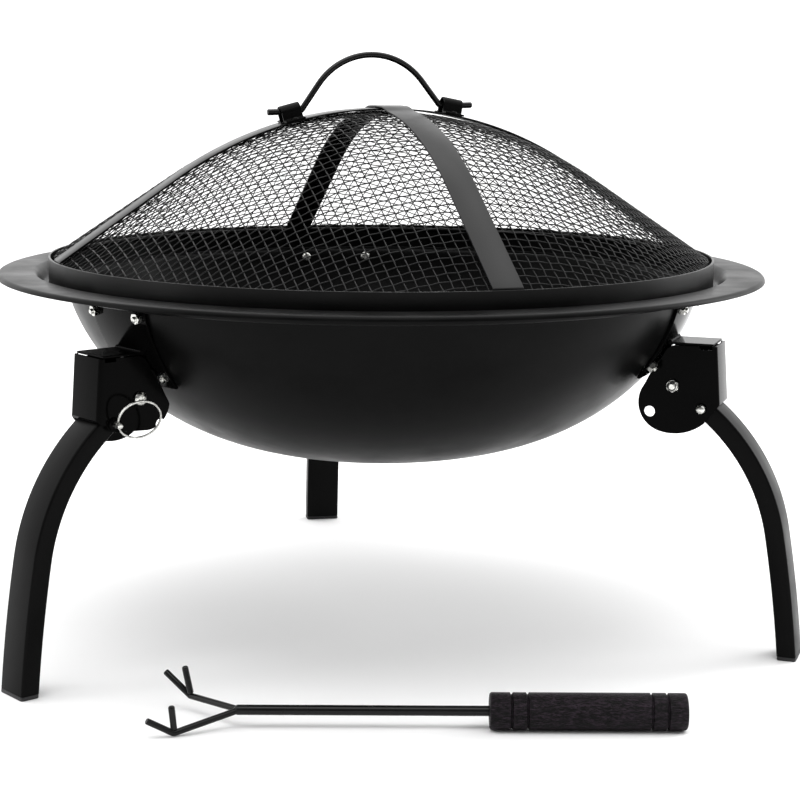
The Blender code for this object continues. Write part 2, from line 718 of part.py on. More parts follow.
def strap_lift(distance, crossing):
    """Height of a strap's middle over the mesh; the cross strap climbs over the long one."""
    if not crossing:
        return STRAP_LIFT
    part = min(max((abs(distance) - CROSS_REACH) / (CROSS_RAMP - CROSS_REACH), 0.0), 1.0)
    return CROSS_LIFT + (STRAP_LIFT - CROSS_LIFT) * part * part * (3 - 2 * part)


def strap_half(crossing):
    """One half of a strap's middle line, from the top of the dome to its end behind the hoop."""
    marks = [step * MESH_RADIUS / STRAP_RUNS for step in range(STRAP_RUNS)]
    if crossing:
        marks[1:2] = [CROSS_REACH, (CROSS_REACH + CROSS_RAMP) / 2, CROSS_RAMP]
    line = [dome_point(mark, strap_lift(mark, crossing)) for mark in marks]
    slope = math.radians(DOME_SLOPE)
    last = line[-1]
    turn_z = last.y - (STRAP_END_R - last.x) * math.tan(slope)
    line.append(Vector((STRAP_END_R - 0.0022, turn_z + 0.0022 * math.tan(slope))))
    line.append(Vector((STRAP_END_R, turn_z - 0.0016)))
    line.append(Vector((STRAP_END_R, STRAP_END_Z)))
    return line


def make_strap(lid, name, azimuth, crossing):
    half = strap_half(crossing)
    points = [(-p.x, 0.0, p.y) for p in reversed(half[1:])] + [(p.x, 0.0, p.y) for p in half]
    frames = []
    for index, point in enumerate(points):
        before = Vector(points[max(index - 1, 0)])
        after = Vector(points[min(index + 1, len(points) - 1)])
        run = (after - before).normalized()
        out = run.cross(Vector((0.0, 1.0, 0.0))) * -1.0
        frames.append(Matrix.Translation(point)
                      @ Matrix((out, (0.0, 1.0, 0.0), run)).transposed().to_4x4())
    strap = sweep(box_section(STRAP_WIDTH, STRAP_SHEET), frames)
    tools = []
    if not crossing:
        for side in (-1, 1):
            for across in (-1, 1):
                bottom = clip_frame(side) @ Vector((0.0, across * RIVET_OUT, -0.004))
                top = clip_frame(side) @ Vector((0.0, across * RIVET_OUT, 0.004))
                tools.append(cylinder(RIVET_RADIUS + GAP, bottom, top, 8))
    mesh = combine(strap, tools) if tools else strap
    turn = Matrix.Rotation(math.radians(azimuth), 4, "Z")
    add_piece(name, turned(mesh, turn), "satin_black_steel", lid)


def clip_frame(side):
    """Frame of a handle clip on the long strap's top face, X along the strap, Z out of the dome."""
    distance = HANDLE_OFFSET + side * CLIP_AT
    top = dome_point(distance, STRAP_LIFT + STRAP_SHEET / 2)
    lean = math.asin(distance / DOME_RADIUS)
    return Matrix.Translation((top.x, 0.0, top.y)) @ Matrix.Rotation(lean, 4, "Y")


def handle_ends():
    """The two points, one in each clip, that the handle's axis goes through."""
    return [clip_frame(side) @ Vector((0.0, 0.0, CLIP_HEIGHT)) for side in (-1, 1)]


def make_clip(name, lid, side):
    """A strip folded over the handle's end like a saddle, with a foot each side."""
    foot = CLIP_SHEET + GAP
    section = [(-CLIP_FOOT, GAP), (-CLIP_FOOT, foot), (-CLIP_OUTER, foot)]
    section += arc((0.0, CLIP_HEIGHT), CLIP_OUTER, 180.0, 0.0, 8)
    section += [(CLIP_OUTER, foot), (CLIP_FOOT, foot), (CLIP_FOOT, GAP), (CLIP_INNER, GAP)]
    section += arc((0.0, CLIP_HEIGHT), CLIP_INNER, 0.0, 180.0, 8) + [(-CLIP_INNER, GAP)]
    clip = prism(section, -CLIP_LENGTH / 2, CLIP_LENGTH / 2)
    clip = turned(clip, Matrix.Rotation(math.radians(90.0), 4, "Z"))
    holes = [cylinder(RIVET_RADIUS + GAP, (0, across * RIVET_OUT, -0.004),
                      (0, across * RIVET_OUT, 0.004), 8) for across in (-1, 1)]
    clip = combine(clip, holes)
    turn = Matrix.Rotation(math.radians(MESH_AZIMUTH), 4, "Z") @ clip_frame(side)
    add_piece("handle_clip_" + name, turned(clip, turn), "satin_black_steel", lid)
    for label, across in (("front", -1), ("back", 1)):
        rivet = revolve([(0.0, -STRAP_SHEET), (RIVET_RADIUS, -STRAP_SHEET),
                         (RIVET_RADIUS, foot + GAP), (RIVET_HEAD_RADIUS, foot + GAP),
                         (0.6 * RIVET_HEAD_RADIUS, foot + GAP + RIVET_HEAD),
                         (0.0, foot + GAP + RIVET_HEAD)], steps=8)
        rivet = turned(rivet, turn @ Matrix.Translation((0.0, across * RIVET_OUT, 0.0)))
        add_piece("clip_rivet_" + name + "_" + label, rivet, "satin_black_steel", lid)


def make_handle(lid):
    """A bent rod: tails through the clips, two rising legs and an arc between them."""
    left, right = handle_ends()
    middle = (left + right) / 2
    tilt = math.atan2(right.z - left.z, right.x - left.x)
    turn = math.radians(HANDLE_LEG_TURN)
    arc_half = HANDLE_ARC_RADIUS * math.sin(turn)
    arc_foot = HANDLE_RISE - HANDLE_ARC_RADIUS * (1 - math.cos(turn))
    corner = arc_half + arc_foot / math.tan(turn)
    left_half = rounded_path([(-HANDLE_TAIL, 0, 0), (-corner, 0, 0), (-arc_half, 0, arc_foot)],
                             HANDLE_BEND)
    crown = [(HANDLE_ARC_RADIUS * math.sin(t), 0.0,
              HANDLE_RISE - HANDLE_ARC_RADIUS * (1 - math.cos(t)))
             for t in [turn * (step / 5) for step in range(-4, 5)]]
    right_half = [(-p[0], p[1], p[2]) for p in reversed(left_half)]
    handle = rod(list(left_half) + crown + right_half, HANDLE_WIRE, HANDLE_SIDES)
    azimuth = Matrix.Rotation(math.radians(MESH_AZIMUTH), 4, "Z")
    place = azimuth @ middle
    add_piece("lid_handle", turned(handle, azimuth @ Matrix.Rotation(-tilt, 4, "Y")),
              "satin_black_steel", lid, place)


def make_lid(bowl_frame):
    lid = add_frame("lid", bowl_frame)
    hoop = revolve([(HOOP_INNER, HOOP_BOTTOM), (HOOP_OUTER, HOOP_BOTTOM), (HOOP_OUTER, HOOP_TOP),
                    (HOOP_INNER, HOOP_TOP)], closed=True)
    add_piece("lid_hoop", hoop, "satin_black_steel", lid)
    section = [(HEM_RADIUS + x, HEM_Z + z) for x, z in circle_section(HEM_WIRE, 6)]
    add_piece("lid_hem_ring", revolve(section, closed=True), "satin_black_steel", lid)
    make_screen_mesh(lid)
    for name, azimuth in STRAP_AZIMUTHS.items():
        make_strap(lid, name, azimuth, name == "lid_strap_cross")
    make_clip("left", lid, -1)
    make_clip("right", lid, 1)
    make_handle(lid)


def make_grip():
    line = [(GRIP_BORE, 0.0), (GRIP_RADIUS - GRIP_ROUND, 0.0), (GRIP_RADIUS, GRIP_ROUND)]
    for groove in GRIP_GROOVES:
        line += [(GRIP_RADIUS, groove - GROOVE_HALF), (GRIP_RADIUS - GROOVE_DEPTH, groove),
                 (GRIP_RADIUS, groove + GROOVE_HALF)]
    line += [(GRIP_RADIUS, GRIP_LENGTH - GRIP_ROUND), (GRIP_RADIUS - GRIP_ROUND, GRIP_LENGTH),
             (0.0, GRIP_LENGTH)]
    bore_end = POKER_SHAFT - GRIP_START + GAP
    line = [(0.0, bore_end), (GRIP_BORE, bore_end)] + line
    grip = revolve(line, steps=20)
    return turned(grip, Matrix.Rotation(math.radians(90.0), 4, "Y"))


def make_poker(parent):
    """Shaft, bent fork with two upright stubs, and a turned grip, lying along X."""
    poker = add_frame("poker", parent, POKER_APEX)
    shaft = cylinder(POKER_WIRE, (SHAFT_START, 0, 0), (POKER_SHAFT, 0, 0), 10)
    add_piece("poker_shaft", shaft, "satin_black_steel", poker)
    add_piece("poker_grip", make_grip(), "stained_wood", poker, (GRIP_START, 0.0, 0.0))
    frame = (Matrix.Translation((FORK_ROOT, 0.0, 0.0))
             @ Matrix.Rotation(math.radians(FORK_YAW), 4, "Z")
             @ Matrix.Rotation(math.radians(-FORK_DROOP), 4, "Y")
             @ Matrix.Rotation(math.radians(FORK_ROLL), 4, "X"))
    arms = []
    for side in (1, -1):
        bend = Vector((-FORK_REACH, side * FORK_HALF, 0.0))
        tip = bend + Vector((-TINE_REACH, side * TINE_SPREAD, TINE_RISE))
        arms.append((tip, bend))
    route = [*arms[0], Vector((0.0, 0.0, 0.0)), *reversed(arms[1])]
    fork = rod(rounded_path([frame @ point for point in route], FORK_ROUND, 3), FORK_WIRE, FORK_SIDES)
    add_piece("poker_fork", fork, "satin_black_steel", poker)
    for label, side in (("back", 1), ("front", -1)):
        stub = [frame @ Vector((STUB_INSET - FORK_REACH, side * (FORK_HALF - STUB_INSET), height))
                for height in (STUB_BASE, STUB_TOP)]
        add_piece("poker_stub_" + label, cylinder(FORK_WIRE, *stub, FORK_SIDES),
                  "satin_black_steel", poker)


def make_station(name, azimuth, bowl_frame, bolt):
    station = add_frame("station_" + name, bowl_frame, turn=azimuth)
    make_mount_plate(name, station)
    make_housing(name, station)
    make_pivot(name, station)
    make_lock_pin(name, station)
    make_pull_ring(name, station)
    make_leg(name, station)
    for number, (side, height) in enumerate(bolt_places(), start=1):
        piece = add_piece("mount_bolt_" + name + "_" + str(number), bolt.copy(),
                          "zinc_plated_steel", station)
        piece.matrix_local = bolt_frame(0.0, side, height)


def main():
    clear_scene()
    bowl_frame = add_frame("bowl_axis", None, (*BOWL_AXIS, 0.0))
    make_bowl(bowl_frame)
    bolt = mount_bolt_mesh()
    for name, azimuth in STATIONS.items():
        make_station(name, azimuth, bowl_frame, bolt)
    make_lid(bowl_frame)
    make_poker(bowl_frame)
    bpy.context.view_layer.update()


main()
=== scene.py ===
"""Looks of the folding fire bowl: fine woven screen, painted sheet steel, plated fixings, poker."""
import json
import math

import bmesh
import bpy
import numpy as np
from mathutils import Matrix, Vector

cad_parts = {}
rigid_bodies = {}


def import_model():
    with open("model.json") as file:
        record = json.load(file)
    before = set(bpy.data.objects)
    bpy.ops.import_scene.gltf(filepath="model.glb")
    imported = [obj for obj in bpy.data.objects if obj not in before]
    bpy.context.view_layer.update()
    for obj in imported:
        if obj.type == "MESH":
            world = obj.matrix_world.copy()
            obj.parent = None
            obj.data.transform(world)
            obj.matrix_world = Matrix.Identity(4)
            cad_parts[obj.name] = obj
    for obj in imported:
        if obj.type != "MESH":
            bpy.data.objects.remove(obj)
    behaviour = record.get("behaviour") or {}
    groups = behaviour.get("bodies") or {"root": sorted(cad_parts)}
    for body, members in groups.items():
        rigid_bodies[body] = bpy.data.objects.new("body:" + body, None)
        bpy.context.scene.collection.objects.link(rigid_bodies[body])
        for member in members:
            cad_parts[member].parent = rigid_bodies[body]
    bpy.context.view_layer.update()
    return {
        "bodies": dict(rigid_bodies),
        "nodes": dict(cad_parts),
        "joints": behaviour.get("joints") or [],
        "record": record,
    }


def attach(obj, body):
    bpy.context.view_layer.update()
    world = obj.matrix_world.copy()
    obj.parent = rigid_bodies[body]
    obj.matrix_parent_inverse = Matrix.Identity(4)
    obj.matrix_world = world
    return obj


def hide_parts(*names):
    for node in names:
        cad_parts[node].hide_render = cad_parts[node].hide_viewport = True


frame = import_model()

for spare in ("Cube", "Light", "Camera"):
    if spare in bpy.data.objects:
        bpy.data.objects.remove(bpy.data.objects[spare], do_unlink=True)

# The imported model's own places, in metres
BOWL_AXIS = Vector((-0.0117, -0.0137, 0.0))
STATIONS = {"back": 100.0, "left": 220.0, "right": 340.0}
LID_TURN = 20.0

# Bowl
SHEET = 0.0015
RIM_RADIUS = 0.28
RIM_Z = 0.2648
WALL_RADIUS = 0.2311
WALL_TOP = 0.259
WALL_DEPTH = 0.1307
SIDE_FULLNESS = 2.75
FLOOR_FULLNESS = 1.53
LEDGE_Z = 0.256
STEP_INNER = 0.2465
STEP_OUTER = 0.255
LIP_DROP = 0.0032
BOWL_STEPS = 180

# Mount plates and bolts
PLATE_LOW = 0.1988
PLATE_HIGH = 0.2532
PLATE_SHEET = 0.002
PLATE_GAP = 0.0003
PLATE_HALF_TURN = 8.0
TAB_UNDER = 0.2216
TAB_TOP = 0.2232
TAB_END = 0.252
TAB_HALF = 0.0165
BOLT_OUT = 0.0255
BOLT_HEIGHTS = (0.2085, 0.2488)
MOUNT_BOLT = 0.002
MOUNT_HEAD = 0.004
WELD_HEIGHTS = (0.2052, 0.2128)
EAR_BEAD = 0.001
TAB_BEAD = 0.0015

# Housing
HOUSING_HALF = 0.0175
HOUSING_SHEET = 0.0018
HOUSING_TOP = 0.2215
WEB_TOP_R = 0.2545
WEB_LOW_R = 0.2576
WEB_LOW_Z = 0.1804
LOBE_RADIUS = 0.0343
HEEL_RADIUS = 0.0212
EAR_HEIGHTS = (0.2044, 0.209, 0.214)
EAR_CLEAR = 0.003
EAR_CORNER = (0.2262, 0.2122)
EAR_RADIUS = 0.009
SHORT_HEEL = (0.2194, 0.1887)
SHORT_HEEL_RADIUS = 0.0185
FOLD_OUTER = 0.003
FOLD_INNER = 0.0012
RELIEF = ((0.2425, 0.2196), (0.2432, 0.219), (0.2512, 0.219), (0.2512, 0.224), (0.2425, 0.224))

# Pivot, lock and ring
PIVOT = (0.2247, 0.1926)
LOCK_REACH = 0.0254
LOCK_TURN = -37.0
FOLD_ANGLE = 93.0
LOCK_BORE = 0.00385
PIVOT_BORE = 0.0028
PIVOT_BOLT = 0.0025
PIVOT_HEAD = 0.0048
PIVOT_HEAD_RISE = 0.0028
PIVOT_NUT = 0.0046
PIVOT_NUT_RISE = 0.0031
PIN_RADIUS = 0.0034
PIN_NECK = 0.0021
PIN_TIP = -0.0224
PIN_END = 0.0258
LOCK_EYE_AT = 0.0224
EYE_AXIS = (0.335, 0.325, 0.885)
RING_RADIUS = 0.0146
RING_HANG = (-0.91, 0.354, 0.214)
RING_PITCH = 0.00078
RING_STRIP = (0.00074, 0.0012)
RING_CRANK_AT = 250.0
RING_CRANK_HALF = 11.0

# Leg
TUBE_WIDTH = 0.0283
TUBE_DEPTH = 0.0135
TUBE_WALL = 0.0012
LEG_TOP_TURN = 53.1
LEG_BEND_TURN = 10.3
LEG_BEND_RADIUS = 0.1396
LEG_SHIN_RADIUS = 1.0
LEG_STRAIGHT = 0.0256
LEG_HEEL = 0.01
PIN_SLOT_TURN = 34.0
SOLE = 0.0025

# Screen
HOOP_OUTER = 0.2433
HOOP_INNER = 0.2418
HOOP_BOTTOM = 0.2563
HOOP_TOP = 0.2753
HEM_RADIUS = 0.2368
HEM_Z = 0.2716
DOME_APEX = 0.3785
DOME_RADIUS = 0.2765
DOME_SLOPE = math.radians(34.06)
DOME_EDGE = DOME_RADIUS * math.sin(DOME_SLOPE)
MESH_RADIUS = 0.2362
WIRE_REACH = 0.2396
MESH_PITCH = 0.0074
MESH_WIRE = 0.00078
MESH_CRIMP = 0.38
STRAP_WIDTH = 0.021
STRAP_SHEET = 0.0012
STRAP_LIFT = 0.0024
CROSS_LIFT = 0.0043
CROSS_TURN = 88.2
CROSS_SHIFT = 0.0045
CROSS_REACH = 0.015
CROSS_RAMP = 0.03
STRAP_END_R = 0.2406
STRAP_END_Z = 0.262

# Handle
HANDLE_OFFSET = -0.0085
HANDLE_WIRE = 0.00225
HANDLE_ARC_RADIUS = 0.05
HANDLE_LEG_TURN = 53.0
HANDLE_RISE = 0.0387
HANDLE_TAIL = 0.079
HANDLE_BEND = 0.005
CLIP_AT = 0.0603
CLIP_LENGTH = 0.015
CLIP_HEIGHT = 0.0065
CLIP_FOOT = 0.0115
CLIP_WRAP = 0.0055
CLIP_SHEET = 0.0012
RIVET_OUT = 0.0086

# Poker
POKER_APEX = Vector((-0.091, -0.262, 0.0118))
POKER_SHAFT = 0.1805
SHAFT_WIRE = 0.0033
GRIP_START = 0.1609
GRIP_LENGTH = 0.125
GRIP_RADIUS = 0.0118
GRIP_BORE = 0.0035
GRIP_EASE = 0.0016
GRIP_GROOVES = (0.0138, 0.024, 0.1024, 0.1124)
FORK_WIRE = 0.0021
FORK_ROOT = 0.003
FORK_REACH = 0.0377
FORK_HALF = 0.0235
FORK_ROLL = 11.0
FORK_DROOP = 8.0
FORK_YAW = -9.4
TINE = (0.0155, 0.007, 0.0155)
FORK_BEND = 0.0024
FRONT_TINE = 0.86
STUB_BASE = 0.0024
STUB_TOPS = {1: 0.0215, -1: 0.0183}
STUB_LEANS = {1: 0.0, -1: 0.0016}

# The photograph's camera, from the bowl's axis
CAMERA_PLACE = Vector((0.0, -1.43345, 0.41923))
CAMERA_PITCH = 0.17586
CAMERA_YAW = 0.01004
CAMERA_ROLL = 0.00799
CAMERA_FOCAL_PIXELS = 1938.25
PHOTO_PIXELS = 800.0
SENSOR_MM = 36.0


# Materials

def hex_colour(code):
    """sRGB hex to linear."""
    parts = [int(code[i:i + 2], 16) / 255 for i in (1, 3, 5)]
    return tuple(c / 12.92 if c <= 0.04045 else ((c + 0.055) / 1.055) ** 2.4 for c in parts) + (1.0,)


def per(millimetres):
    """Pattern scale for one feature in so many millimetres."""
    return 1000.0 / millimetres


def node(tree, kind, settings=None, **links):
    """Add a node; settings are properties, socket values or colour stops, links are its inputs' sources."""
    made = tree.nodes.new("ShaderNode" + kind)
    for name, value in (settings or {}).items():
        if name == "stops":
            for stop, (position, code) in zip(made.color_ramp.elements, value):
                stop.position, stop.color = position, hex_colour(code)
        elif isinstance(name, int) or name in made.inputs:
            made.inputs[name].default_value = value
        else:
            setattr(made, name, value)
    for name, source in links.items():
        socket = int(name[1:]) if name[0] == "i" and name[1:].isdigit() else name
        tree.links.new(source, made.inputs[socket])
    return made


def start(name):
    """A new material, its node tree, its shader and the object's own coordinates."""
    material = bpy.data.materials.new(name)
    material.use_nodes = True
    tree = material.node_tree
    spot = node(tree, "TexCoord").outputs["Object"]
    return material, tree, tree.nodes["Principled BSDF"], spot


def dress(tree, shader, tone, cloud, rough, height, strength, depth):
    """Give the shader its tone, a roughness that follows a cloud pattern, and its fine relief."""
    tree.links.new(tone, shader.inputs["Base Color"])
    skin = node(tree, "MapRange", {"From Min": 0.3, "From Max": 0.7, "To Min": rough[0],
                                   "To Max": rough[1]}, Value=cloud)
    tree.links.new(skin.outputs["Result"], shader.inputs["Roughness"])
    bump = node(tree, "Bump", {"Strength": strength, "Distance": depth}, Height=height)
    tree.links.new(bump.outputs["Normal"], shader.inputs["Normal"])


def painted_steel(name, dark, light, rough, peel, peel_size, specular):
    """Black paint over sheet steel. Slow clouds of tone, fine orange peel and a satin or glossy skin."""
    material, tree, shader, spot = start(name)
    clouds = node(tree, "TexNoise", {"Scale": per(35.7), "Detail": 3.0, "Roughness": 0.55},
                  Vector=spot).outputs["Fac"]
    tone = node(tree, "ValToRGB", {"stops": ((0.3, dark), (0.75, light))}, Fac=clouds)
    shader.inputs["Specular IOR Level"].default_value = specular
    grain = node(tree, "TexNoise", {"Scale": per(peel_size), "Detail": 2.0}, Vector=spot)
    dress(tree, shader, tone.outputs["Color"], clouds, rough, grain.outputs["Fac"], peel, 0.0004)
    return material


def zinc_plate(name):
    """Zinc plated steel, bright dipped: silvery with a faint cloudy bloom and fine rolling marks."""
    material, tree, shader, spot = start(name)
    shader.inputs["Metallic"].default_value = 1.0
    bloom = node(tree, "TexNoise", {"Scale": per(2.38), "Detail": 3.0}, Vector=spot)
    bloom = bloom.outputs["Fac"]
    tone = node(tree, "ValToRGB", {"stops": ((0.3, "#b9b9b4"), (0.7, "#e2e2de"))}, Fac=bloom)
    # Rolling marks are finer than 0.1 mm; they are drawn at 0.385 mm so that they show
    marks = node(tree, "TexNoise", {"Scale": per(0.385), "Detail": 1.0}, Vector=spot)
    dress(tree, shader, tone.outputs["Color"], bloom, (0.2, 0.34), marks.outputs["Fac"], 0.12, 0.0001)
    return material


def moulded_plastic(name, code, rough):
    """Moulded polyethylene or nylon: matt, with a fine spark-eroded texture."""
    material, tree, shader, spot = start(name)
    # The mould's texture is about 0.1 mm; it is drawn at 0.556 mm so that it shows
    grain = node(tree, "TexNoise", {"Scale": per(0.556), "Detail": 2.0}, Vector=spot)
    grain = grain.outputs["Fac"]
    tone = node(tree, "ValToRGB", {"stops": ((0.35, code), (0.9, "#202022"))}, Fac=grain)
    dress(tree, shader, tone.outputs["Color"], grain, (rough, rough), grain, 0.35, 0.0002)
    return material


def stained_wood(name):
    """Black stained open-grained hardwood, turned: charcoal with long pores and paler rubbed grain."""
    material, tree, shader, spot = start(name)
    along = node(tree, "Mapping", {"Scale": (per(5.88), per(1.613), per(1.613))}, Vector=spot)
    fibres = node(tree, "TexNoise", {"Scale": 1.0, "Detail": 5.0, "Roughness": 0.65},
                  Vector=along.outputs["Vector"]).outputs["Fac"]
    # Pores are about 0.1 mm wide; they are drawn at 0.667 mm so that they show
    pores_at = node(tree, "Mapping", {"Scale": (per(2.38), per(0.667), per(0.667))}, Vector=spot)
    pores = node(tree, "TexNoise", {"Scale": 1.0, "Detail": 2.0},
                 Vector=pores_at.outputs["Vector"]).outputs["Fac"]
    tone = node(tree, "ValToRGB", {"stops": ((0.42, "#030203"), (0.6, "#2c232b"))}, Fac=fibres)
    speck = node(tree, "ValToRGB", {"stops": ((0.38, "#5a5a5a"), (0.56, "#ffffff"))}, Fac=pores)
    both = node(tree, "Mix", {"data_type": "RGBA", "blend_type": "MULTIPLY", 0: 1.0},
                i6=tone.outputs["Color"], i7=speck.outputs["Color"])
    shader.inputs["Specular IOR Level"].default_value = 0.13
    height = node(tree, "Math", {"operation": "ADD"}, i0=fibres, i1=pores)
    dress(tree, shader, both.outputs[2], fibres, (0.4, 0.62), height.outputs["Value"], 0.9, 0.001)
    return material


PAINT = {
    "satin_black_steel": painted_steel("satin_baked_enamel_on_steel", "#060606", "#0b0b0b",
                                       (0.28, 0.4), 0.1, 1.1, 0.049),
    "gloss_black_steel": painted_steel("smooth_black_enamel_on_steel", "#040404", "#070707",
                                       (0.09, 0.15), 0.05, 1.4, 0.024),
    "black_wire": painted_steel("dipped_black_enamel_on_wire", "#080808", "#101010",
                                (0.3, 0.42), 0.05, 2.0, 0.13),
    "enamelled_strip": painted_steel("satin_enamel_on_strip", "#070707", "#0d0d0d",
                                     (0.28, 0.38), 0.08, 1.2, 0.14),
    "enamelled_bar": painted_steel("satin_enamel_on_round_bar", "#060606", "#0c0c0c",
                                   (0.22, 0.34), 0.06, 1.6, 0.24),
    "zinc_plated_steel": zinc_plate("bright_zinc_plate_on_steel"),
    "black_plastic": moulded_plastic("moulded_black_polyethylene", "#101011", 0.55),
    "nylon_insert": moulded_plastic("moulded_black_nylon", "#0b0b0c", 0.45),
    "stained_wood": stained_wood("black_stained_turned_beech"),
}


# Making pieces

def show(item):
    bpy.context.scene.collection.objects.link(item)


def to_mesh(shape, merge=1e-6):
    if merge:
        bmesh.ops.remove_doubles(shape, verts=shape.verts, dist=merge)
    bmesh.ops.recalc_face_normals(shape, faces=shape.faces)
    mesh = bpy.data.meshes.new("shape")
    shape.to_mesh(mesh)
    shape.free()
    return mesh


def cut(mesh, tools, operation="DIFFERENCE"):
    """Cut or join a mesh with closed tool meshes."""
    body = bpy.data.objects.new("cut", mesh)
    show(body)
    helpers = []
    for tool in tools:
        helper = bpy.data.objects.new("tool", tool)
        show(helper)
        change = body.modifiers.new("cut", "BOOLEAN")
        change.operation, change.solver, change.object = operation, "EXACT", helper
        helpers.append(helper)
    bpy.context.view_layer.update()
    made = bpy.data.meshes.new_from_object(body.evaluated_get(bpy.context.evaluated_depsgraph_get()))
    for used in [body] + helpers:
        bpy.data.objects.remove(used, do_unlink=True)
    return made


def shift(x, y, z):
    return Matrix.Translation((x, y, z))


def turn_by(degrees, axis):
    return Matrix.Rotation(math.radians(degrees), 4, axis)


def turned(mesh, matrix):
    mesh.transform(matrix)
    return mesh


def together(meshes):
    """Put separate closed shapes into one mesh."""
    shape = bmesh.new()
    for mesh in meshes:
        shape.from_mesh(mesh)
    made = bpy.data.meshes.new("shape")
    shape.to_mesh(made)
    shape.free()
    return made


def piece(name, mesh, body, paint, replaces, place, bevel=0.0, sharp=35.0):
    """One finished piece in its place, with its paint, riding on a body."""
    mesh.transform(place)
    mesh.name = name
    mesh.materials.clear()
    mesh.materials.append(PAINT[paint])
    made = bpy.data.objects.new(name, mesh)
    show(made)
    if bevel:
        edge = made.modifiers.new("soft_edges", "BEVEL")
        edge.width, edge.segments, edge.limit_method = bevel, 2, "ANGLE"
        edge.angle_limit = math.radians(40.0)
        edge.harden_normals = True
    mesh.shade_smooth()
    mesh.set_sharp_from_angle(angle=math.radians(sharp))
    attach(made, body)
    if replaces:
        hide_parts(*replaces)


def revolve(points, closed=False, steps=48):
    """Spin an outline of (radius, height) points a full turn about Z."""
    shape = bmesh.new()
    verts = [shape.verts.new((radius, 0.0, height)) for radius, height in points]
    edges = [shape.edges.new(pair) for pair in zip(verts, verts[1:])]
    if closed:
        edges.append(shape.edges.new((verts[-1], verts[0])))
    bmesh.ops.spin(shape, geom=verts + edges, axis=(0, 0, 1), cent=(0, 0, 0),
                   angle=math.tau, steps=steps, use_merge=True)
    return to_mesh(shape)


def grow(shape, face):
    region = [face] + list(face.edges) + list(face.verts)
    grown = bmesh.ops.extrude_face_region(shape, geom=region)["geom"]
    verts = [item for item in grown if isinstance(item, bmesh.types.BMVert)]
    return verts, next(item for item in grown if isinstance(item, bmesh.types.BMFace))


def prism(points, low, high):
    """Extrude a closed outline of (X, Z) points along Y."""
    shape = bmesh.new()
    face = shape.faces.new([shape.verts.new((x, low, z)) for x, z in points])
    bmesh.ops.translate(shape, verts=grow(shape, face)[0], vec=(0.0, high - low, 0.0))
    return to_mesh(shape)


def cylinder(radius, start_at, end_at, steps=32):
    start_at, end_at = Vector(start_at), Vector(end_at)
    along = end_at - start_at
    turn = along.to_track_quat("Z", "Y").to_matrix().to_4x4()
    shape = bmesh.new()
    bmesh.ops.create_cone(shape, cap_ends=True, segments=steps, radius1=radius, radius2=radius,
                          depth=along.length,
                          matrix=Matrix.Translation((start_at + end_at) / 2) @ turn)
    return to_mesh(shape)


def sweep(section, frames):
    """Extrude a closed section of (x, y) points through a list of frames."""
    shape = bmesh.new()
    face = shape.faces.new([shape.verts.new(frames[0] @ Vector((x, y, 0.0))) for x, y in section])
    for here, there in zip(frames, frames[1:]):
        verts, face = grow(shape, face)
        bmesh.ops.transform(shape, matrix=there @ here.inverted(), verts=verts)
    return to_mesh(shape)


def circle_section(radius, sides):
    turns = [math.tau * (step + 0.5) / sides for step in range(sides)]
    return [(radius * math.cos(turn), radius * math.sin(turn)) for turn in turns]


def box_section(width, depth, corner, steps):
    """A rectangle, depth along x and width along y, with rounded corners."""
    x, y = depth / 2, width / 2
    points = []
    for turn, cx, cy in ((0, x - corner, y - corner), (90, corner - x, y - corner),
                         (180, corner - x, corner - y), (270, x - corner, corner - y)):
        for step in range(steps + 1):
            angle = math.radians(turn + 90.0 * step / steps)
            points.append((cx + corner * math.cos(angle), cy + corner * math.sin(angle)))
    return points


def path_frames(points):
    """Frames along a path, carried round its bends without twisting."""
    points = [Vector(point) for point in points]
    legs = [(b - a).normalized() for a, b in zip(points, points[1:])]
    tangents = [legs[0]] + [(a + b).normalized() for a, b in zip(legs, legs[1:])] + [legs[-1]]
    turn = tangents[0].to_track_quat("Z", "Y")
    frames = []
    for index, (point, tangent) in enumerate(zip(points, tangents)):
        if index:
            turn = tangents[index - 1].rotation_difference(tangent) @ turn
        frames.append(Matrix.Translation(point) @ turn.to_matrix().to_4x4())
    return frames


def rod(points, radius, sides=20):
    """A round bar along a path, with slightly rounded ends."""
    frames = path_frames(points)
    ends = []
    for frame, way in ((frames[0], 1), (frames[-1], -1)):
        ends.append([frame @ Matrix.Diagonal((0.8, 0.8, 1.0, 1.0)),
                     frame @ shift(0, 0, way * 0.18 * radius) @ Matrix.Diagonal((0.95, 0.95, 1, 1)),
                     frame @ shift(0, 0, way * 0.4 * radius)])
    return sweep(circle_section(radius, sides), ends[0] + frames[1:-1] + ends[1][::-1])


def rounded_path(corners, radius, steps=8):
    """A path of straight runs whose inner corners are rounded to a radius."""
    corners = [Vector(corner) for corner in corners]
    path = [corners[0]]
    for before, corner, after in zip(corners, corners[1:], corners[2:]):
        back, on = (before - corner).normalized(), (after - corner).normalized()
        half = back.angle(on) / 2
        centre = corner + (back + on).normalized() * radius / math.sin(half)
        begin = corner + back * radius / math.tan(half)
        swing = math.pi - 2 * half
        axis = (begin - centre).cross(back).normalized()
        for step in range(steps + 1):
            turn = Matrix.Rotation(-swing * step / steps, 3, axis)
            path.append(centre + turn @ (begin - centre))
    return path + [corners[-1]]


def offset_line(points, distance):
    """Move an open outline sideways, to the right of its direction of travel."""
    points = [Vector(point) for point in points]
    sides = []
    for a, b in zip(points, points[1:]):
        run = (b - a).normalized()
        sides.append(Vector((run.y, -run.x)))
    moved = [points[0] + sides[0] * distance]
    for point, before, after in zip(points[1:], sides, sides[1:]):
        moved.append(point + (before + after) * distance / (1.0 + before.dot(after)))
    return moved + [points[-1] + sides[-1] * distance]


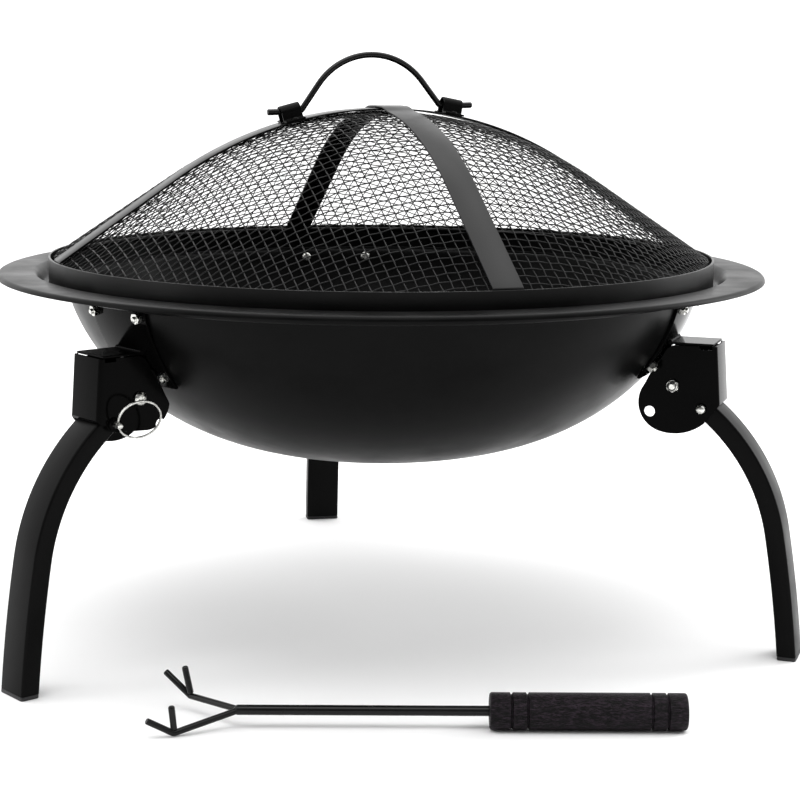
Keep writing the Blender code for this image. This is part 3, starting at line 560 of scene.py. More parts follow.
def polar(centre, radius, turn):
    angle = math.radians(turn)
    return (centre[0] + radius * math.cos(angle), centre[1] + radius * math.sin(angle))


def arc(centre, radius, begin, end, steps):
    return [polar(centre, radius, begin + (end - begin) * step / steps) for step in range(steps + 1)]


AT_BOWL = Matrix.Translation(BOWL_AXIS)
AT_LID = AT_BOWL @ turn_by(LID_TURN, "Z")


def station_place(name):
    return AT_BOWL @ turn_by(STATIONS[name], "Z")


# Bowl

def wall_point(turn, out=0.0):
    """A point on the bowl's outer wall: turn runs from 0 at the bottom to 90 degrees at the top."""
    def place(angle):
        radius = WALL_RADIUS * max(math.sin(angle), 0.0) ** (2 / SIDE_FULLNESS)
        height = WALL_TOP - WALL_DEPTH * max(math.cos(angle), 0.0) ** (2 / FLOOR_FULLNESS)
        return Vector((radius, height))
    if turn <= 0.0:
        return Vector((0.0, place(0.0).y - out))
    run = (place(turn + 0.002) - place(turn - 0.002)).normalized()
    return place(turn) + Vector((run.y, -run.x)) * out


def wall_turn(height):
    return math.acos(((WALL_TOP - height) / WALL_DEPTH) ** (FLOOR_FULLNESS / 2))


def wall_at(height, out=0.0):
    return wall_point(wall_turn(height), out)


def make_bowl():
    """Deep drawn bowl: wall, ledge, step and flat flange with a turned-down lip."""
    top = wall_turn(LEDGE_Z - SHEET - 0.0016)
    outside = [wall_point(top * (step / 44) ** 1.1) for step in range(45)]
    here = outside[-1]
    ledge = Vector((STEP_INNER, LEDGE_Z - SHEET))
    corner = Vector((here.x + 0.0022, ledge.y))
    outside += [here.lerp(corner, 0.5) + Vector((-0.0003, 0.0003)), corner]
    outside += [Vector((STEP_INNER - 0.004, ledge.y))]
    for step in range(13):
        part = step / 12
        rise = (1 - math.cos(math.pi * part)) / 2
        outside.append(Vector((STEP_INNER + (STEP_OUTER - STEP_INNER) * part,
                               ledge.y + (RIM_Z - LEDGE_Z) * rise)))
    bend = 0.0016
    centre = (RIM_RADIUS - SHEET - bend, RIM_Z - SHEET - bend)
    outside += [Vector(p) for p in arc(centre, bend, 90.0, 0.0, 5)]
    outside.append(Vector((RIM_RADIUS - SHEET, RIM_Z - LIP_DROP)))
    inside = offset_line(outside, -SHEET)
    inside[0].x = 0.0
    lip_low = inside[-1]
    lip_low.y = RIM_Z - LIP_DROP
    bowl = revolve(inside + outside[::-1], steps=BOWL_STEPS)
    piece("bowl_drawn", bowl, "bowl_body", "satin_black_steel", ["bowl"], AT_BOWL, sharp=50.0)


# Mount plates, bolts and welds

def make_plate(name):
    """Mount plate rolled to the bowl's curve, with its tab over the housing."""
    heights = [PLATE_LOW + (PLATE_HIGH - PLATE_LOW) * step / 14 for step in range(15)]
    line = [wall_at(height) for height in heights]
    section = offset_line(line, PLATE_GAP) + offset_line(line, PLATE_GAP + PLATE_SHEET)[::-1]
    shape = bmesh.new()
    face = shape.faces.new([shape.verts.new((r, 0.0, z)) for r, z in section])
    half = math.radians(PLATE_HALF_TURN)
    bmesh.ops.rotate(shape, verts=shape.verts, cent=(0, 0, 0), matrix=Matrix.Rotation(-half, 3, "Z"))
    bmesh.ops.spin(shape, geom=list(face.verts) + list(face.edges) + [face], axis=(0, 0, 1),
                   cent=(0, 0, 0), angle=2 * half, steps=16)
    plate = to_mesh(shape)
    root = wall_at(TAB_UNDER).x + 0.0012
    tab = prism([(root, TAB_UNDER), (TAB_END, TAB_UNDER), (TAB_END, TAB_TOP), (root + 0.001, TAB_TOP)],
                -TAB_HALF, TAB_HALF)
    plate = cut(plate, [tab], "UNION")
    piece("mount_plate_rolled_" + name, plate, "bowl_body", "gloss_black_steel",
          ["mount_plate_" + name], station_place(name), bevel=0.00035)


def bolt_place(side, height):
    """Frame of a mount bolt on the wall, Z pointing out of the bowl."""
    spot = wall_at(height)
    nearby = wall_at(height + 0.0004)
    tilt = math.atan2(nearby.y - spot.y, spot.x - nearby.x)
    turn = math.asin(BOLT_OUT / spot.x) * side
    return Matrix.Rotation(turn, 4, "Z") @ shift(spot.x, 0.0, spot.y) @ Matrix.Rotation(tilt, 4, "Y")


def hex_nut(radius, bore, high):
    """Hexagon nut with both faces chamfered to the round."""
    nut = cylinder(radius, (0, 0, 0), (0, 0, high), 6)
    crown = 0.16 * radius
    corner = radius * 0.9
    shell = revolve([(0.0, 0.0), (corner, 0.0), (radius + 0.0004, crown),
                     (radius + 0.0004, high - crown), (corner, high), (0.0, high)], steps=48)
    nut = cut(nut, [shell], "INTERSECT")
    return cut(nut, [cylinder(bore, (0, 0, -0.001), (0, 0, high + 0.001), 32)])


def threaded(radius, low, high, pitch=0.0008):
    """Threaded bolt end drawn as close rings, with a chamfered tip."""
    points = [(0.0, low)]
    count = int((high - low - 0.0006) / pitch)
    at = low
    for _ in range(count):
        points += [(radius - 0.0003, at), (radius, at + 0.5 * pitch)]
        at += pitch
    points += [(radius - 0.0003, at), (radius - 0.0003, high - 0.0003), (radius - 0.0007, high),
               (0.0, high)]
    return revolve(points, steps=24)


def cross_head(radius, height, low):
    """Pan head with a cross recess, its flat face at low and its crown pointing to -Z."""
    head = revolve([(0.0, low), (radius, low), (radius, low - 0.35 * height),
                    (0.93 * radius, low - 0.65 * height), (0.74 * radius, low - 0.9 * height),
                    (0.42 * radius, low - height), (0.0, low - height)], steps=40)
    slots = []
    for turn in (0.0, 90.0):
        size = Matrix.Diagonal((1.15 * radius, 0.26 * radius, 0.9 * height, 1.0))
        shape = bmesh.new()
        bmesh.ops.create_cube(shape, size=1.0, matrix=turn_by(turn, "Z")
                              @ shift(0, 0, low - height) @ size)
        slots.append(to_mesh(shape))
    return cut(head, slots)


def mount_bolt():
    inner, outer = -SHEET - 0.0001, PLATE_GAP + PLATE_SHEET + 0.0001
    head = cross_head(MOUNT_HEAD, 0.6 * MOUNT_HEAD, inner)
    shank = threaded(MOUNT_BOLT, inner - 0.0005, outer + 0.0052)
    nut = hex_nut(MOUNT_HEAD, MOUNT_BOLT - 0.0001, 0.85 * MOUNT_HEAD)
    return together([head, shank, turned(nut, shift(0, 0, outer))])


def weld_bead(points, radius, ripple):
    """A bead of weld along a path: overlapping rounded ripples."""
    path = [Vector(point) for point in points]
    steps = []
    for a, b in zip(path, path[1:]):
        count = max(int((b - a).length / (ripple / 5)), 1)
        steps += [a.lerp(b, step / count) for step in range(count)]
    steps.append(path[-1])
    frames = path_frames(steps)
    travelled, shaped = 0.0, []
    for index, frame in enumerate(frames):
        if index:
            travelled += (steps[index] - steps[index - 1]).length
        swell = 0.86 + 0.14 * abs(math.sin(math.pi * travelled / ripple))
        ends = min(index, len(frames) - 1 - index)
        swell *= (0.35, 0.75, 0.93)[ends] if ends < 3 else 1.0
        shaped.append(frame @ Matrix.Diagonal((swell, swell, 1.0, 1.0)))
    return sweep(circle_section(radius, 12), shaped)


def make_welds(name):
    """Beads along both ears of the housing and along the root of the tab."""
    low, high = WELD_HEIGHTS
    heights = [low + (high - low) * step / 6 for step in range(7)]
    line = [wall_at(height, PLATE_GAP + PLATE_SHEET + 0.0004) for height in heights]
    root = wall_at(TAB_TOP, PLATE_GAP + PLATE_SHEET).x + 0.0002
    seam = [(root, part * TAB_HALF, TAB_TOP + 0.0002) for part in (-1.0, -0.5, 0.0, 0.5, 1.0)]
    beads = [weld_bead([(p.x, side * (HOUSING_HALF - 0.0004), p.y) for p in line], EAR_BEAD, 0.0011)
             for side in (-1, 1)] + [weld_bead(seam, TAB_BEAD, 0.0022)]
    piece("weld_beads_" + name, together(beads), "bowl_body", "gloss_black_steel", (),
          station_place(name), sharp=60.0)


# Housing

def lock_spot(fold=0.0):
    return polar(PIVOT, LOCK_REACH, LOCK_TURN - fold)


def web_radius(height, inset=0.0):
    part = (HOUSING_TOP - height) / (HOUSING_TOP - WEB_LOW_Z)
    return WEB_TOP_R + (WEB_LOW_R - WEB_TOP_R) * part - inset


def make_housing(name):
    """U-shaped housing folded from sheet: a web and two side plates with a rounded lobe."""
    ear = [tuple(wall_at(height, EAR_CLEAR)) for height in EAR_HEIGHTS]
    ear += arc(EAR_CORNER, EAR_RADIUS, 145.0, 90.0, 8)
    heel = polar(PIVOT, LOBE_RADIUS - HEEL_RADIUS, -105.0)
    outline = [(WEB_TOP_R, HOUSING_TOP), (WEB_LOW_R, WEB_LOW_Z)]
    outline += arc(PIVOT, LOBE_RADIUS, -49.5, -105.0, 16)
    outline += arc(heel, HEEL_RADIUS, -105.0, -214.7, 28)[1:] + ear
    shell = bmesh.new()
    shell.from_mesh(prism(outline, -HOUSING_HALF, HOUSING_HALF))
    folds = [edge for edge in shell.edges
             if all(vert.co.x > WEB_TOP_R - 0.0003 for vert in edge.verts)
             and abs(edge.verts[0].co.y - edge.verts[1].co.y) < 0.0003]
    bmesh.ops.bevel(shell, geom=folds, offset=FOLD_OUTER, segments=8, profile=0.5,
                    affect="EDGES", material=-1)
    below, above = 0.15, 0.23
    inner = HOUSING_HALF - HOUSING_SHEET
    room = bmesh.new()
    room.from_mesh(prism([(web_radius(above, HOUSING_SHEET), above),
                          (web_radius(below, HOUSING_SHEET), below), (0.185, below), (0.185, above)],
                         -inner, inner))
    deep = [edge for edge in room.edges if all(vert.co.x > 0.24 for vert in edge.verts)
            and abs(edge.verts[0].co.y - edge.verts[1].co.y) < 0.0003]
    bmesh.ops.bevel(room, geom=deep, offset=FOLD_INNER, segments=4, profile=0.5,
                    affect="EDGES", material=-1)
    short = [(0.27, 0.18)] + arc(lock_spot(), 0.0056, -5.0, -84.0, 10)
    short += arc(SHORT_HEEL, SHORT_HEEL_RADIUS, -84.0, -180.0, 20)
    short += [(0.19, SHORT_HEEL[1]), (0.19, below), (0.27, below)]
    tools = [to_mesh(room), prism(short, inner / 2, 0.03)]
    folded = lock_spot(FOLD_ANGLE)
    for spot, radius in ((PIVOT, PIVOT_BORE), (lock_spot(), LOCK_BORE), (folded, LOCK_BORE)):
        tools.append(cylinder(radius, (spot[0], -0.03, spot[1]), (spot[0], 0.03, spot[1]), 40))
    for low, high in ((-0.02, 0.0004 - inner), (inner - 0.0004, 0.02)):
        tools.append(prism(RELIEF, low, high))
    piece("housing_folded_" + name, cut(to_mesh(shell), tools), "bowl_body", "gloss_black_steel",
          ["housing_" + name], station_place(name), bevel=0.0003)


# Pivot, lock pin and split ring

TO_Y = turn_by(-90.0, "X")


def make_pivot(name):
    place = station_place(name) @ shift(PIVOT[0], 0.0, PIVOT[1]) @ TO_Y
    face = HOUSING_HALF + 0.0002
    over = turn_by(180.0, "X")
    head = turned(cross_head(PIVOT_HEAD, PIVOT_HEAD_RISE, 0.0), shift(0, 0, face) @ over)
    shank = cylinder(PIVOT_BOLT, (0, 0, -0.012), (0, 0, face + 0.0004), 32)
    end = turned(threaded(PIVOT_BOLT, 0.0, face - 0.0057), over @ shift(0, 0, 0.0115))
    piece("pivot_screw_" + name, together([head, shank, end]), "bowl_body", "zinc_plated_steel",
          ["pivot_bolt_" + name], place, bevel=0.00012)
    flats = hex_nut(PIVOT_NUT, PIVOT_BOLT - 0.0001, PIVOT_NUT_RISE)
    flats = turned(flats, shift(0, 0, -face - PIVOT_NUT_RISE))
    low = -face - 0.0044
    crown = revolve([(0.0026, low), (0.0029, low), (0.0034, low + 0.0003), (0.0039, low + 0.0009),
                     (0.004, low + 0.0016), (0.0026, low + 0.0016)], closed=True, steps=40)
    piece("pivot_lock_nut_" + name, together([flats, crown]), "bowl_body", "zinc_plated_steel",
          ["pivot_nut_" + name], place, bevel=0.0001)
    insert = revolve([(0.0023, low - 0.00025), (0.0031, low - 0.00025), (0.0031, low + 0.00105),
                      (0.0023, low + 0.00105)], closed=True, steps=40)
    piece("nut_insert_" + name, insert, "bowl_body", "nylon_insert", (), place)


def make_lock_pin(name):
    """Plated pin: rounded tip, black collar against the plate and a neck with an eye for the ring."""
    collar = HOUSING_HALF + 0.0003
    radius, neck, tip = PIN_RADIUS, PIN_NECK, PIN_TIP
    line = [(0.0, tip), (0.35 * radius, tip + 0.00012), (0.62 * radius, tip + 0.00045),
            (0.86 * radius, tip + 0.0011), (radius, tip + 0.0021), (radius, collar + 0.0004),
            (neck, collar + 0.001), (neck, PIN_END - 0.0006), (0.86 * neck, PIN_END - 0.0003),
            (0.6 * neck, PIN_END), (0.0, PIN_END)]
    pin = turned(revolve(line, steps=40), TO_Y)
    across = Vector(EYE_AXIS).normalized() * 0.01
    centre = Vector((0.0, LOCK_EYE_AT, 0.0))
    spot = lock_spot()
    pin = cut(pin, [cylinder(0.0015, centre - across, centre + across, 24)])
    place = station_place(name) @ shift(spot[0], 0.0, spot[1])
    piece("lock_pin_turned_" + name, pin, "lock_pin_body_" + name, "zinc_plated_steel",
          ["lock_pin_" + name], place, bevel=0.00012)
    washer = revolve([(0.002, collar), (0.0046, collar), (0.0046, collar + 0.0009),
                      (0.0038, collar + 0.0013), (0.002, collar + 0.0013)], closed=True, steps=40)
    piece("lock_pin_collar_" + name, turned(washer, TO_Y), "lock_pin_body_" + name,
          "gloss_black_steel", (), place, bevel=0.0001)


def make_split_ring(name):
    """Split ring of flattened wire: two turns side by side, with a crank where they change places."""
    axis = Vector(EYE_AXIS).normalized()
    side = Vector(RING_HANG).cross(axis).normalized()
    out = axis.cross(side)
    turn = Matrix((out, axis, side)).transposed().to_4x4()
    per_turn = 72
    frames = []
    for step in range(2 * per_turn - 1):
        angle = 360.0 * step / per_turn + RING_CRANK_AT + 5.0
        lap = (angle - RING_CRANK_AT - 360.0) / RING_CRANK_HALF
        part = min(max((lap + 1.0) / 2.0, 0.0), 1.0)
        height = RING_PITCH * (part * part * (3 - 2 * part) - 0.5)
        frames.append(turn_by(angle, "Z") @ shift(RING_RADIUS, 0.0, height) @ turn_by(-90.0, "X"))
    ring = sweep(box_section(*RING_STRIP, 0.0003, 2), frames)
    spot = lock_spot()
    place = (station_place(name) @ shift(spot[0], LOCK_EYE_AT, spot[1])
             @ Matrix.Translation(out * RING_RADIUS) @ turn)
    piece("split_ring_" + name, ring, "pull_ring_body_" + name, "zinc_plated_steel",
          ["pull_ring_" + name], place, sharp=40.0)


# Legs

def leg_line():
    """Centre line of the leg as (outward, up, lean from the vertical), from its top to the floor."""
    lean = math.radians(LEG_TOP_TURN)
    run = Vector((math.sin(lean), -math.cos(lean)))
    pivot = Vector(PIVOT)
    line = [(*(pivot - run * LEG_HEEL), lean), (*(pivot + run * LEG_STRAIGHT), lean)]
    here = pivot + run * LEG_STRAIGHT
    bend_end = math.radians(LEG_BEND_TURN)
    for steps, radius, end in ((32, LEG_BEND_RADIUS, bend_end), (12, LEG_SHIN_RADIUS, None)):
        if end is None:
            end = math.asin(math.sin(lean) - here.y / radius)
        for step in range(1, steps + 1):
            now = lean + (end - lean) * step / steps
            out = here.x + radius * (math.cos(now) - math.cos(lean))
            down = here.y - radius * (math.sin(lean) - math.sin(now))
            line.append((out, down, now))
        here, lean = Vector((line[-1][0], line[-1][1])), line[-1][2]
    return line


def leg_frames(line):
    frames = []
    for out, up, lean in line:
        turn = Matrix(((math.cos(lean), 0.0, math.sin(lean)), (0.0, 1.0, 0.0),
                       (math.sin(lean), 0.0, -math.cos(lean)))).to_4x4()
        frames.append(shift(out - PIVOT[0], 0.0, up - PIVOT[1]) @ turn)
    return frames


def make_leg(name):
    """Bent rectangular tube with rounded corners, open at its top, and its moulded foot."""
    line = leg_line()
    foot_out, _, foot_lean = line[-1]
    line[-1] = (foot_out - (SOLE + 0.0002) * math.tan(foot_lean), SOLE + 0.0002, 0.0)
    frames = leg_frames(line)
    tube = sweep(box_section(TUBE_WIDTH, TUBE_DEPTH, 0.0017, 4), frames)
    long_frames = ([frames[0] @ shift(0, 0, -0.003)] + frames[1:-1]
                   + [frames[-1] @ shift(0, 0, 0.003)])
    room = box_section(TUBE_WIDTH - 2 * TUBE_WALL, TUBE_DEPTH - 2 * TUBE_WALL, 0.0007, 2)
    hollow = sweep(room, long_frames)
    slot = arc((0.0, 0.0), LOCK_REACH + LOCK_BORE, LOCK_TURN, LOCK_TURN + PIN_SLOT_TURN, 12)
    slot += arc((0.0, 0.0), LOCK_REACH - LOCK_BORE, LOCK_TURN + PIN_SLOT_TURN, LOCK_TURN, 12)
    end = polar((0.0, 0.0), LOCK_REACH, LOCK_TURN)
    slot += arc(end, LOCK_BORE, LOCK_TURN + 180.0, LOCK_TURN + 360.0, 16)[1:-1]
    bore = cylinder(PIVOT_BORE, (0, -0.03, 0), (0, 0.03, 0))
    tube = cut(tube, [hollow, bore, prism(slot, -0.03, 0.03)])
    at = station_place(name) @ shift(PIVOT[0], 0.0, PIVOT[1])
    piece("leg_tube_" + name, tube, "leg_body_" + name, "satin_black_steel", ["leg_" + name], at,
          sharp=30.0)
    make_foot(name, foot_out, foot_lean)


def make_foot(name, foot_out, foot_lean):
    cap = bmesh.new()
    outline = box_section(TUBE_WIDTH, TUBE_DEPTH, 0.0019, 5)
    face = cap.faces.new([cap.verts.new((x, y, 0.0)) for x, y in outline])
    levels = ((0.0004, 1.0), (SOLE - 0.0005, 1.0), (SOLE, 0.985), (SOLE, 0.86))
    for part in cap.verts:
        part.co.x, part.co.y = part.co.x * 0.985, part.co.y * 0.985
    at = 0.0
    scale = 0.985
    for height, wide in levels:
        verts, face = grow(cap, face)
        bmesh.ops.translate(cap, verts=verts, vec=(0, 0, height - at))
        bmesh.ops.scale(cap, verts=verts, vec=(wide / scale, wide / scale, 1.0))
        at, scale = height, wide
    verts, face = grow(cap, face)
    bmesh.ops.scale(cap, verts=verts, vec=(0.92, 0.97, 1.0))
    bmesh.ops.translate(cap, verts=verts, vec=(-0.0075 * math.tan(foot_lean), 0, 0.0075))
    place = station_place(name) @ shift(foot_out, 0.0, 0.0)
    piece("foot_cap_moulded_" + name, to_mesh(cap), "leg_body_" + name, "black_plastic",
          ["foot_cap_" + name], place, sharp=30.0)


# Screen

def dome_height(distance):
    """Height of the dome's middle surface, and its slope, at a distance from the axis."""
    distance = np.abs(distance)
    ball = DOME_APEX - DOME_RADIUS + np.sqrt(np.maximum(DOME_RADIUS ** 2 - distance ** 2, 0.0))
    foot = DOME_APEX - DOME_RADIUS * (1 - math.cos(DOME_SLOPE))
    cone = foot - (distance - DOME_EDGE) * math.tan(DOME_SLOPE)
    lean = np.where(distance <= DOME_EDGE, np.arcsin(np.clip(distance / DOME_RADIUS, -1, 1)), DOME_SLOPE)
    return np.where(distance <= DOME_EDGE, ball, cone), lean


def dome_point(distance, out=0.0):
    height, lean = dome_height(distance)
    sign = math.copysign(1.0, distance)
    lean = float(lean)
    return Vector((distance + sign * out * math.sin(lean), float(height) + out * math.cos(lean)))


def rolled(length):
    """Plan distance of a point that lies a length of cloth away from the apex."""
    edge = DOME_RADIUS * DOME_SLOPE
    turn = np.clip(np.abs(length), 0.0, edge) / DOME_RADIUS
    rest = np.maximum(np.abs(length) - edge, 0.0) * math.cos(DOME_SLOPE)
    return np.sign(length) * (DOME_RADIUS * np.sin(turn) + rest)


def unrolled(distance):
    """Length of cloth from the apex to a plan distance."""
    if distance <= DOME_EDGE:
        return DOME_RADIUS * math.asin(distance / DOME_RADIUS)
    return DOME_RADIUS * DOME_SLOPE + (distance - DOME_EDGE) / math.cos(DOME_SLOPE)


def woven_wires(first):
    """Crimped wires one way: straight rods side by side, bent over and under and laid on the dome."""
    sides, step = 6, MESH_PITCH / 4
    lanes = int(unrolled(WIRE_REACH) / MESH_PITCH)
    rods = []
    for lane in range(-lanes, lanes + 1):
        offset = lane * MESH_PITCH
        across = float(rolled(offset))
        rings = int(2 * unrolled(math.sqrt(WIRE_REACH ** 2 - across ** 2)) / step)
        turn = shift(-rings * step / 2, offset, 0.0) @ turn_by(90.0, "Y")
        wire = bmesh.new()
        bmesh.ops.create_circle(wire, cap_ends=True, segments=sides, radius=MESH_WIRE / 2, matrix=turn)
        bmesh.ops.spin(wire, geom=list(wire.verts) + list(wire.edges) + list(wire.faces), axis=(0, 0, 1),
                       cent=(0, 0, 0), dvec=(step, 0.0, 0.0), angle=0.0, steps=rings)
        rods.append(to_mesh(wire, merge=0.0))
    mesh = together(rods)
    flat = np.zeros(len(mesh.vertices) * 3)
    mesh.vertices.foreach_get("co", flat)
    flat = flat.reshape(-1, 3)
    lane = np.round(flat[:, 1] / MESH_PITCH)
    over = np.where(lane % 2 == 0, 1.0, -1.0)
    crimp = MESH_WIRE * MESH_CRIMP * np.cos(np.pi * flat[:, 0] / MESH_PITCH) * over
    out = flat[:, 2] + (crimp if first else -crimp)
    lane_at = lane * MESH_PITCH
    along, across = rolled(flat[:, 0]), rolled(lane_at) + flat[:, 1] - lane_at
    x, y = (along, across) if first else (-across, along)
    distance = np.maximum(np.hypot(x, y), 1e-9)
    height, lean = dome_height(distance)
    spread = out * np.sin(lean) / distance
    placed = np.stack([x * (1 + spread), y * (1 + spread), height + out * np.cos(lean)], axis=1)
    mesh.vertices.foreach_set("co", placed.ravel())
    mesh.update()
    return mesh


def strap_lift(distance, crossing):
    if not crossing:
        return STRAP_LIFT
    part = min(max((abs(distance) - CROSS_REACH) / (CROSS_RAMP - CROSS_REACH), 0.0), 1.0)
    return CROSS_LIFT + (STRAP_LIFT - CROSS_LIFT) * part * part * (3 - 2 * part)


def make_strap(name, crossing):
    """Flat strap bent over the dome, its ends turned down inside the hoop."""
    marks = [step * MESH_RADIUS / 60 for step in range(60)]
    half = [dome_point(mark, strap_lift(mark, crossing)) for mark in marks]
    last = half[-1]
    corner = Vector((STRAP_END_R, last.y - (STRAP_END_R - last.x) * math.tan(DOME_SLOPE)))
    bend = rounded_path([(last.x, 0, last.y), (corner.x, 0, corner.y), (STRAP_END_R, 0, STRAP_END_Z)],
                        STRAP_SHEET, 5)
    half += [Vector((p.x, p.z)) for p in bend[1:]]
    points = [(-p.x, 0.0, p.y) for p in reversed(half[1:])] + [(p.x, 0.0, p.y) for p in half]
    frames = []
    for index, point in enumerate(points):
        before = Vector(points[max(index - 1, 0)])
        after = Vector(points[min(index + 1, len(points) - 1)])
        run = (after - before).normalized()
        out = run.cross(Vector((0.0, 1.0, 0.0))) * -1.0
        turn = Matrix((out, (0.0, 1.0, 0.0), run)).transposed().to_4x4()
        frames.append(Matrix.Translation(point) @ turn)
    strap = sweep(box_section(STRAP_WIDTH, STRAP_SHEET, 0.00025, 2), frames)
    turn = Matrix.Identity(4)
    if crossing:
        turn = shift(CROSS_SHIFT, 0, 0) @ turn_by(CROSS_TURN, "Z")
    piece(name + "_rolled", strap, "lid_body", "enamelled_strip", [name], AT_LID @ turn, sharp=45.0)


def clip_place(side):
    distance = HANDLE_OFFSET + side * CLIP_AT
    top = dome_point(distance, STRAP_LIFT + STRAP_SHEET / 2)
    lean = math.asin(distance / DOME_RADIUS)
    return shift(top.x, 0.0, top.y) @ Matrix.Rotation(lean, 4, "Y")


def make_clip(label, side):
    """Strip of sheet folded over the handle's end, with two riveted feet."""
    outer, inner, sheet = CLIP_WRAP, CLIP_WRAP - CLIP_SHEET, CLIP_SHEET
    low = 0.0001
    foot = sheet + low
    fillet = 0.0012
    section = [(-CLIP_FOOT, low), (-CLIP_FOOT, foot)]
    section += arc((-outer - fillet, foot + fillet), fillet, -90.0, 0.0, 4)
    section += arc((0.0, CLIP_HEIGHT), outer, 180.0, 0.0, 24)
    section += arc((outer + fillet, foot + fillet), fillet, 180.0, 270.0, 4)
    section += [(CLIP_FOOT, foot), (CLIP_FOOT, low), (inner, low)]
    section += arc((0.0, CLIP_HEIGHT), inner, 0.0, 180.0, 24) + [(-inner, low)]
    clip = turned(prism(section, -CLIP_LENGTH / 2, CLIP_LENGTH / 2), turn_by(90.0, "Z"))
    piece("saddle_clip_" + label, clip, "lid_body", "satin_black_steel", ["handle_clip_" + label],
          AT_LID @ clip_place(side), bevel=0.00025)
    for end, across in (("front", -1), ("back", 1)):
        rivet = revolve([(0.0, -0.0011), (0.0013, -0.0011), (0.0013, foot), (0.0026, foot),
                         (0.0026, foot + 0.0003), (0.0023, foot + 0.0008), (0.0016, foot + 0.0012),
                         (0.0008, foot + 0.00138), (0.0, foot + 0.0014)], steps=28)
        piece("domed_rivet_" + label + "_" + end, rivet, "lid_body", "satin_black_steel",
              ["clip_rivet_" + label + "_" + end],
              AT_LID @ clip_place(side) @ shift(0.0, across * RIVET_OUT, 0.0))


def make_handle():
    """Bail of round bar: tails through the clips, rising legs and a crown."""
    left, right = [clip_place(side) @ Vector((0.0, 0.0, CLIP_HEIGHT)) for side in (-1, 1)]
    middle = (left + right) / 2
    tilt = math.atan2(right.z - left.z, right.x - left.x)
    turn = math.radians(HANDLE_LEG_TURN)
    arc_half = HANDLE_ARC_RADIUS * math.sin(turn)
    arc_foot = HANDLE_RISE - HANDLE_ARC_RADIUS * (1 - math.cos(turn))
    corner = arc_half + arc_foot / math.tan(turn)
    left_half = rounded_path([(-HANDLE_TAIL, 0, 0), (-corner, 0, 0), (-arc_half, 0, arc_foot)],
                             HANDLE_BEND, 10)
    crown = [(HANDLE_ARC_RADIUS * math.sin(t), 0.0, HANDLE_RISE - HANDLE_ARC_RADIUS * (1 - math.cos(t)))
             for t in [turn * (step / 20) for step in range(-19, 20)]]
    right_half = [(-p[0], p[1], p[2]) for p in reversed(left_half)]
    bail = rod(list(left_half) + crown + right_half, HANDLE_WIRE)
    place = AT_LID @ Matrix.Translation(middle) @ Matrix.Rotation(-tilt, 4, "Y")
    piece("bail_bent", bail, "handle_body", "enamelled_bar", ["lid_handle"], place, sharp=40.0)


def make_screen():
    hoop = revolve([(HOOP_INNER, HOOP_BOTTOM), (HOOP_OUTER, HOOP_BOTTOM), (HOOP_OUTER, HOOP_TOP),
                    (HOOP_INNER, HOOP_TOP)], closed=True, steps=BOWL_STEPS)
    piece("hoop_rolled", hoop, "lid_body", "enamelled_strip", ["lid_hoop"], AT_BOWL, bevel=0.0003)
    section = [(HEM_RADIUS + x, HEM_Z + z) for x, z in circle_section(0.002, 12)]
    hem = revolve(section, closed=True, steps=BOWL_STEPS)
    piece("hem_ring_bent", hem, "lid_body", "satin_black_steel", ["lid_hem_ring"], AT_BOWL)
    for name, first in (("mesh_wires_along", True), ("mesh_wires_across", False)):
        piece(name, woven_wires(first), "lid_body", "black_wire", ["lid_mesh"], AT_LID, sharp=60.0)
    make_strap("lid_strap_long", False)
    make_strap("lid_strap_cross", True)
    make_clip("left", -1)
    make_clip("right", 1)
    make_handle()


# Poker

def make_poker():
    at = Matrix.Translation(BOWL_AXIS + POKER_APEX)
    marks = (0.0006, 0.002, 0.05, POKER_SHAFT - 0.002, POKER_SHAFT)
    shaft = rod([(mark, 0, 0) for mark in marks], SHAFT_WIRE, 32)
    piece("poker_bar", shaft, "poker_body", "enamelled_bar", ["poker_shaft"], at, sharp=40.0)
    tilt = (shift(FORK_ROOT, 0.0, 0.0) @ turn_by(FORK_YAW, "Z")
            @ turn_by(-FORK_DROOP, "Y") @ turn_by(FORK_ROLL, "X"))
    arms = []
    for side in (1, -1):
        bend = Vector((-FORK_REACH, side * FORK_HALF, 0.0))
        reach = 1.0 if side > 0 else FRONT_TINE
        arms.append((bend + reach * Vector((-TINE[0], side * TINE[1], TINE[2])), bend))
    route = [*arms[0], Vector((0.0, 0.0, 0.0)), *reversed(arms[1])]
    fork = rod(rounded_path([tilt @ point for point in route], FORK_BEND, 8), FORK_WIRE)
    piece("poker_fork_bent", fork, "poker_body", "enamelled_bar", ["poker_fork"], at, sharp=40.0)
    for label, side in (("back", 1), ("front", -1)):
        across, behind = side * (FORK_HALF - 0.0006), 0.0006 - FORK_REACH
        foot = tilt @ Vector((behind, across, STUB_BASE))
        top = tilt @ Vector((behind + STUB_LEANS[side], across, STUB_TOPS[side]))
        stub = rod([foot, foot.lerp(top, 0.2), foot.lerp(top, 0.8), top], FORK_WIRE)
        piece("poker_prong_" + label, stub, "poker_body", "enamelled_bar", ["poker_stub_" + label], at,
              sharp=40.0)
    make_grip(at)


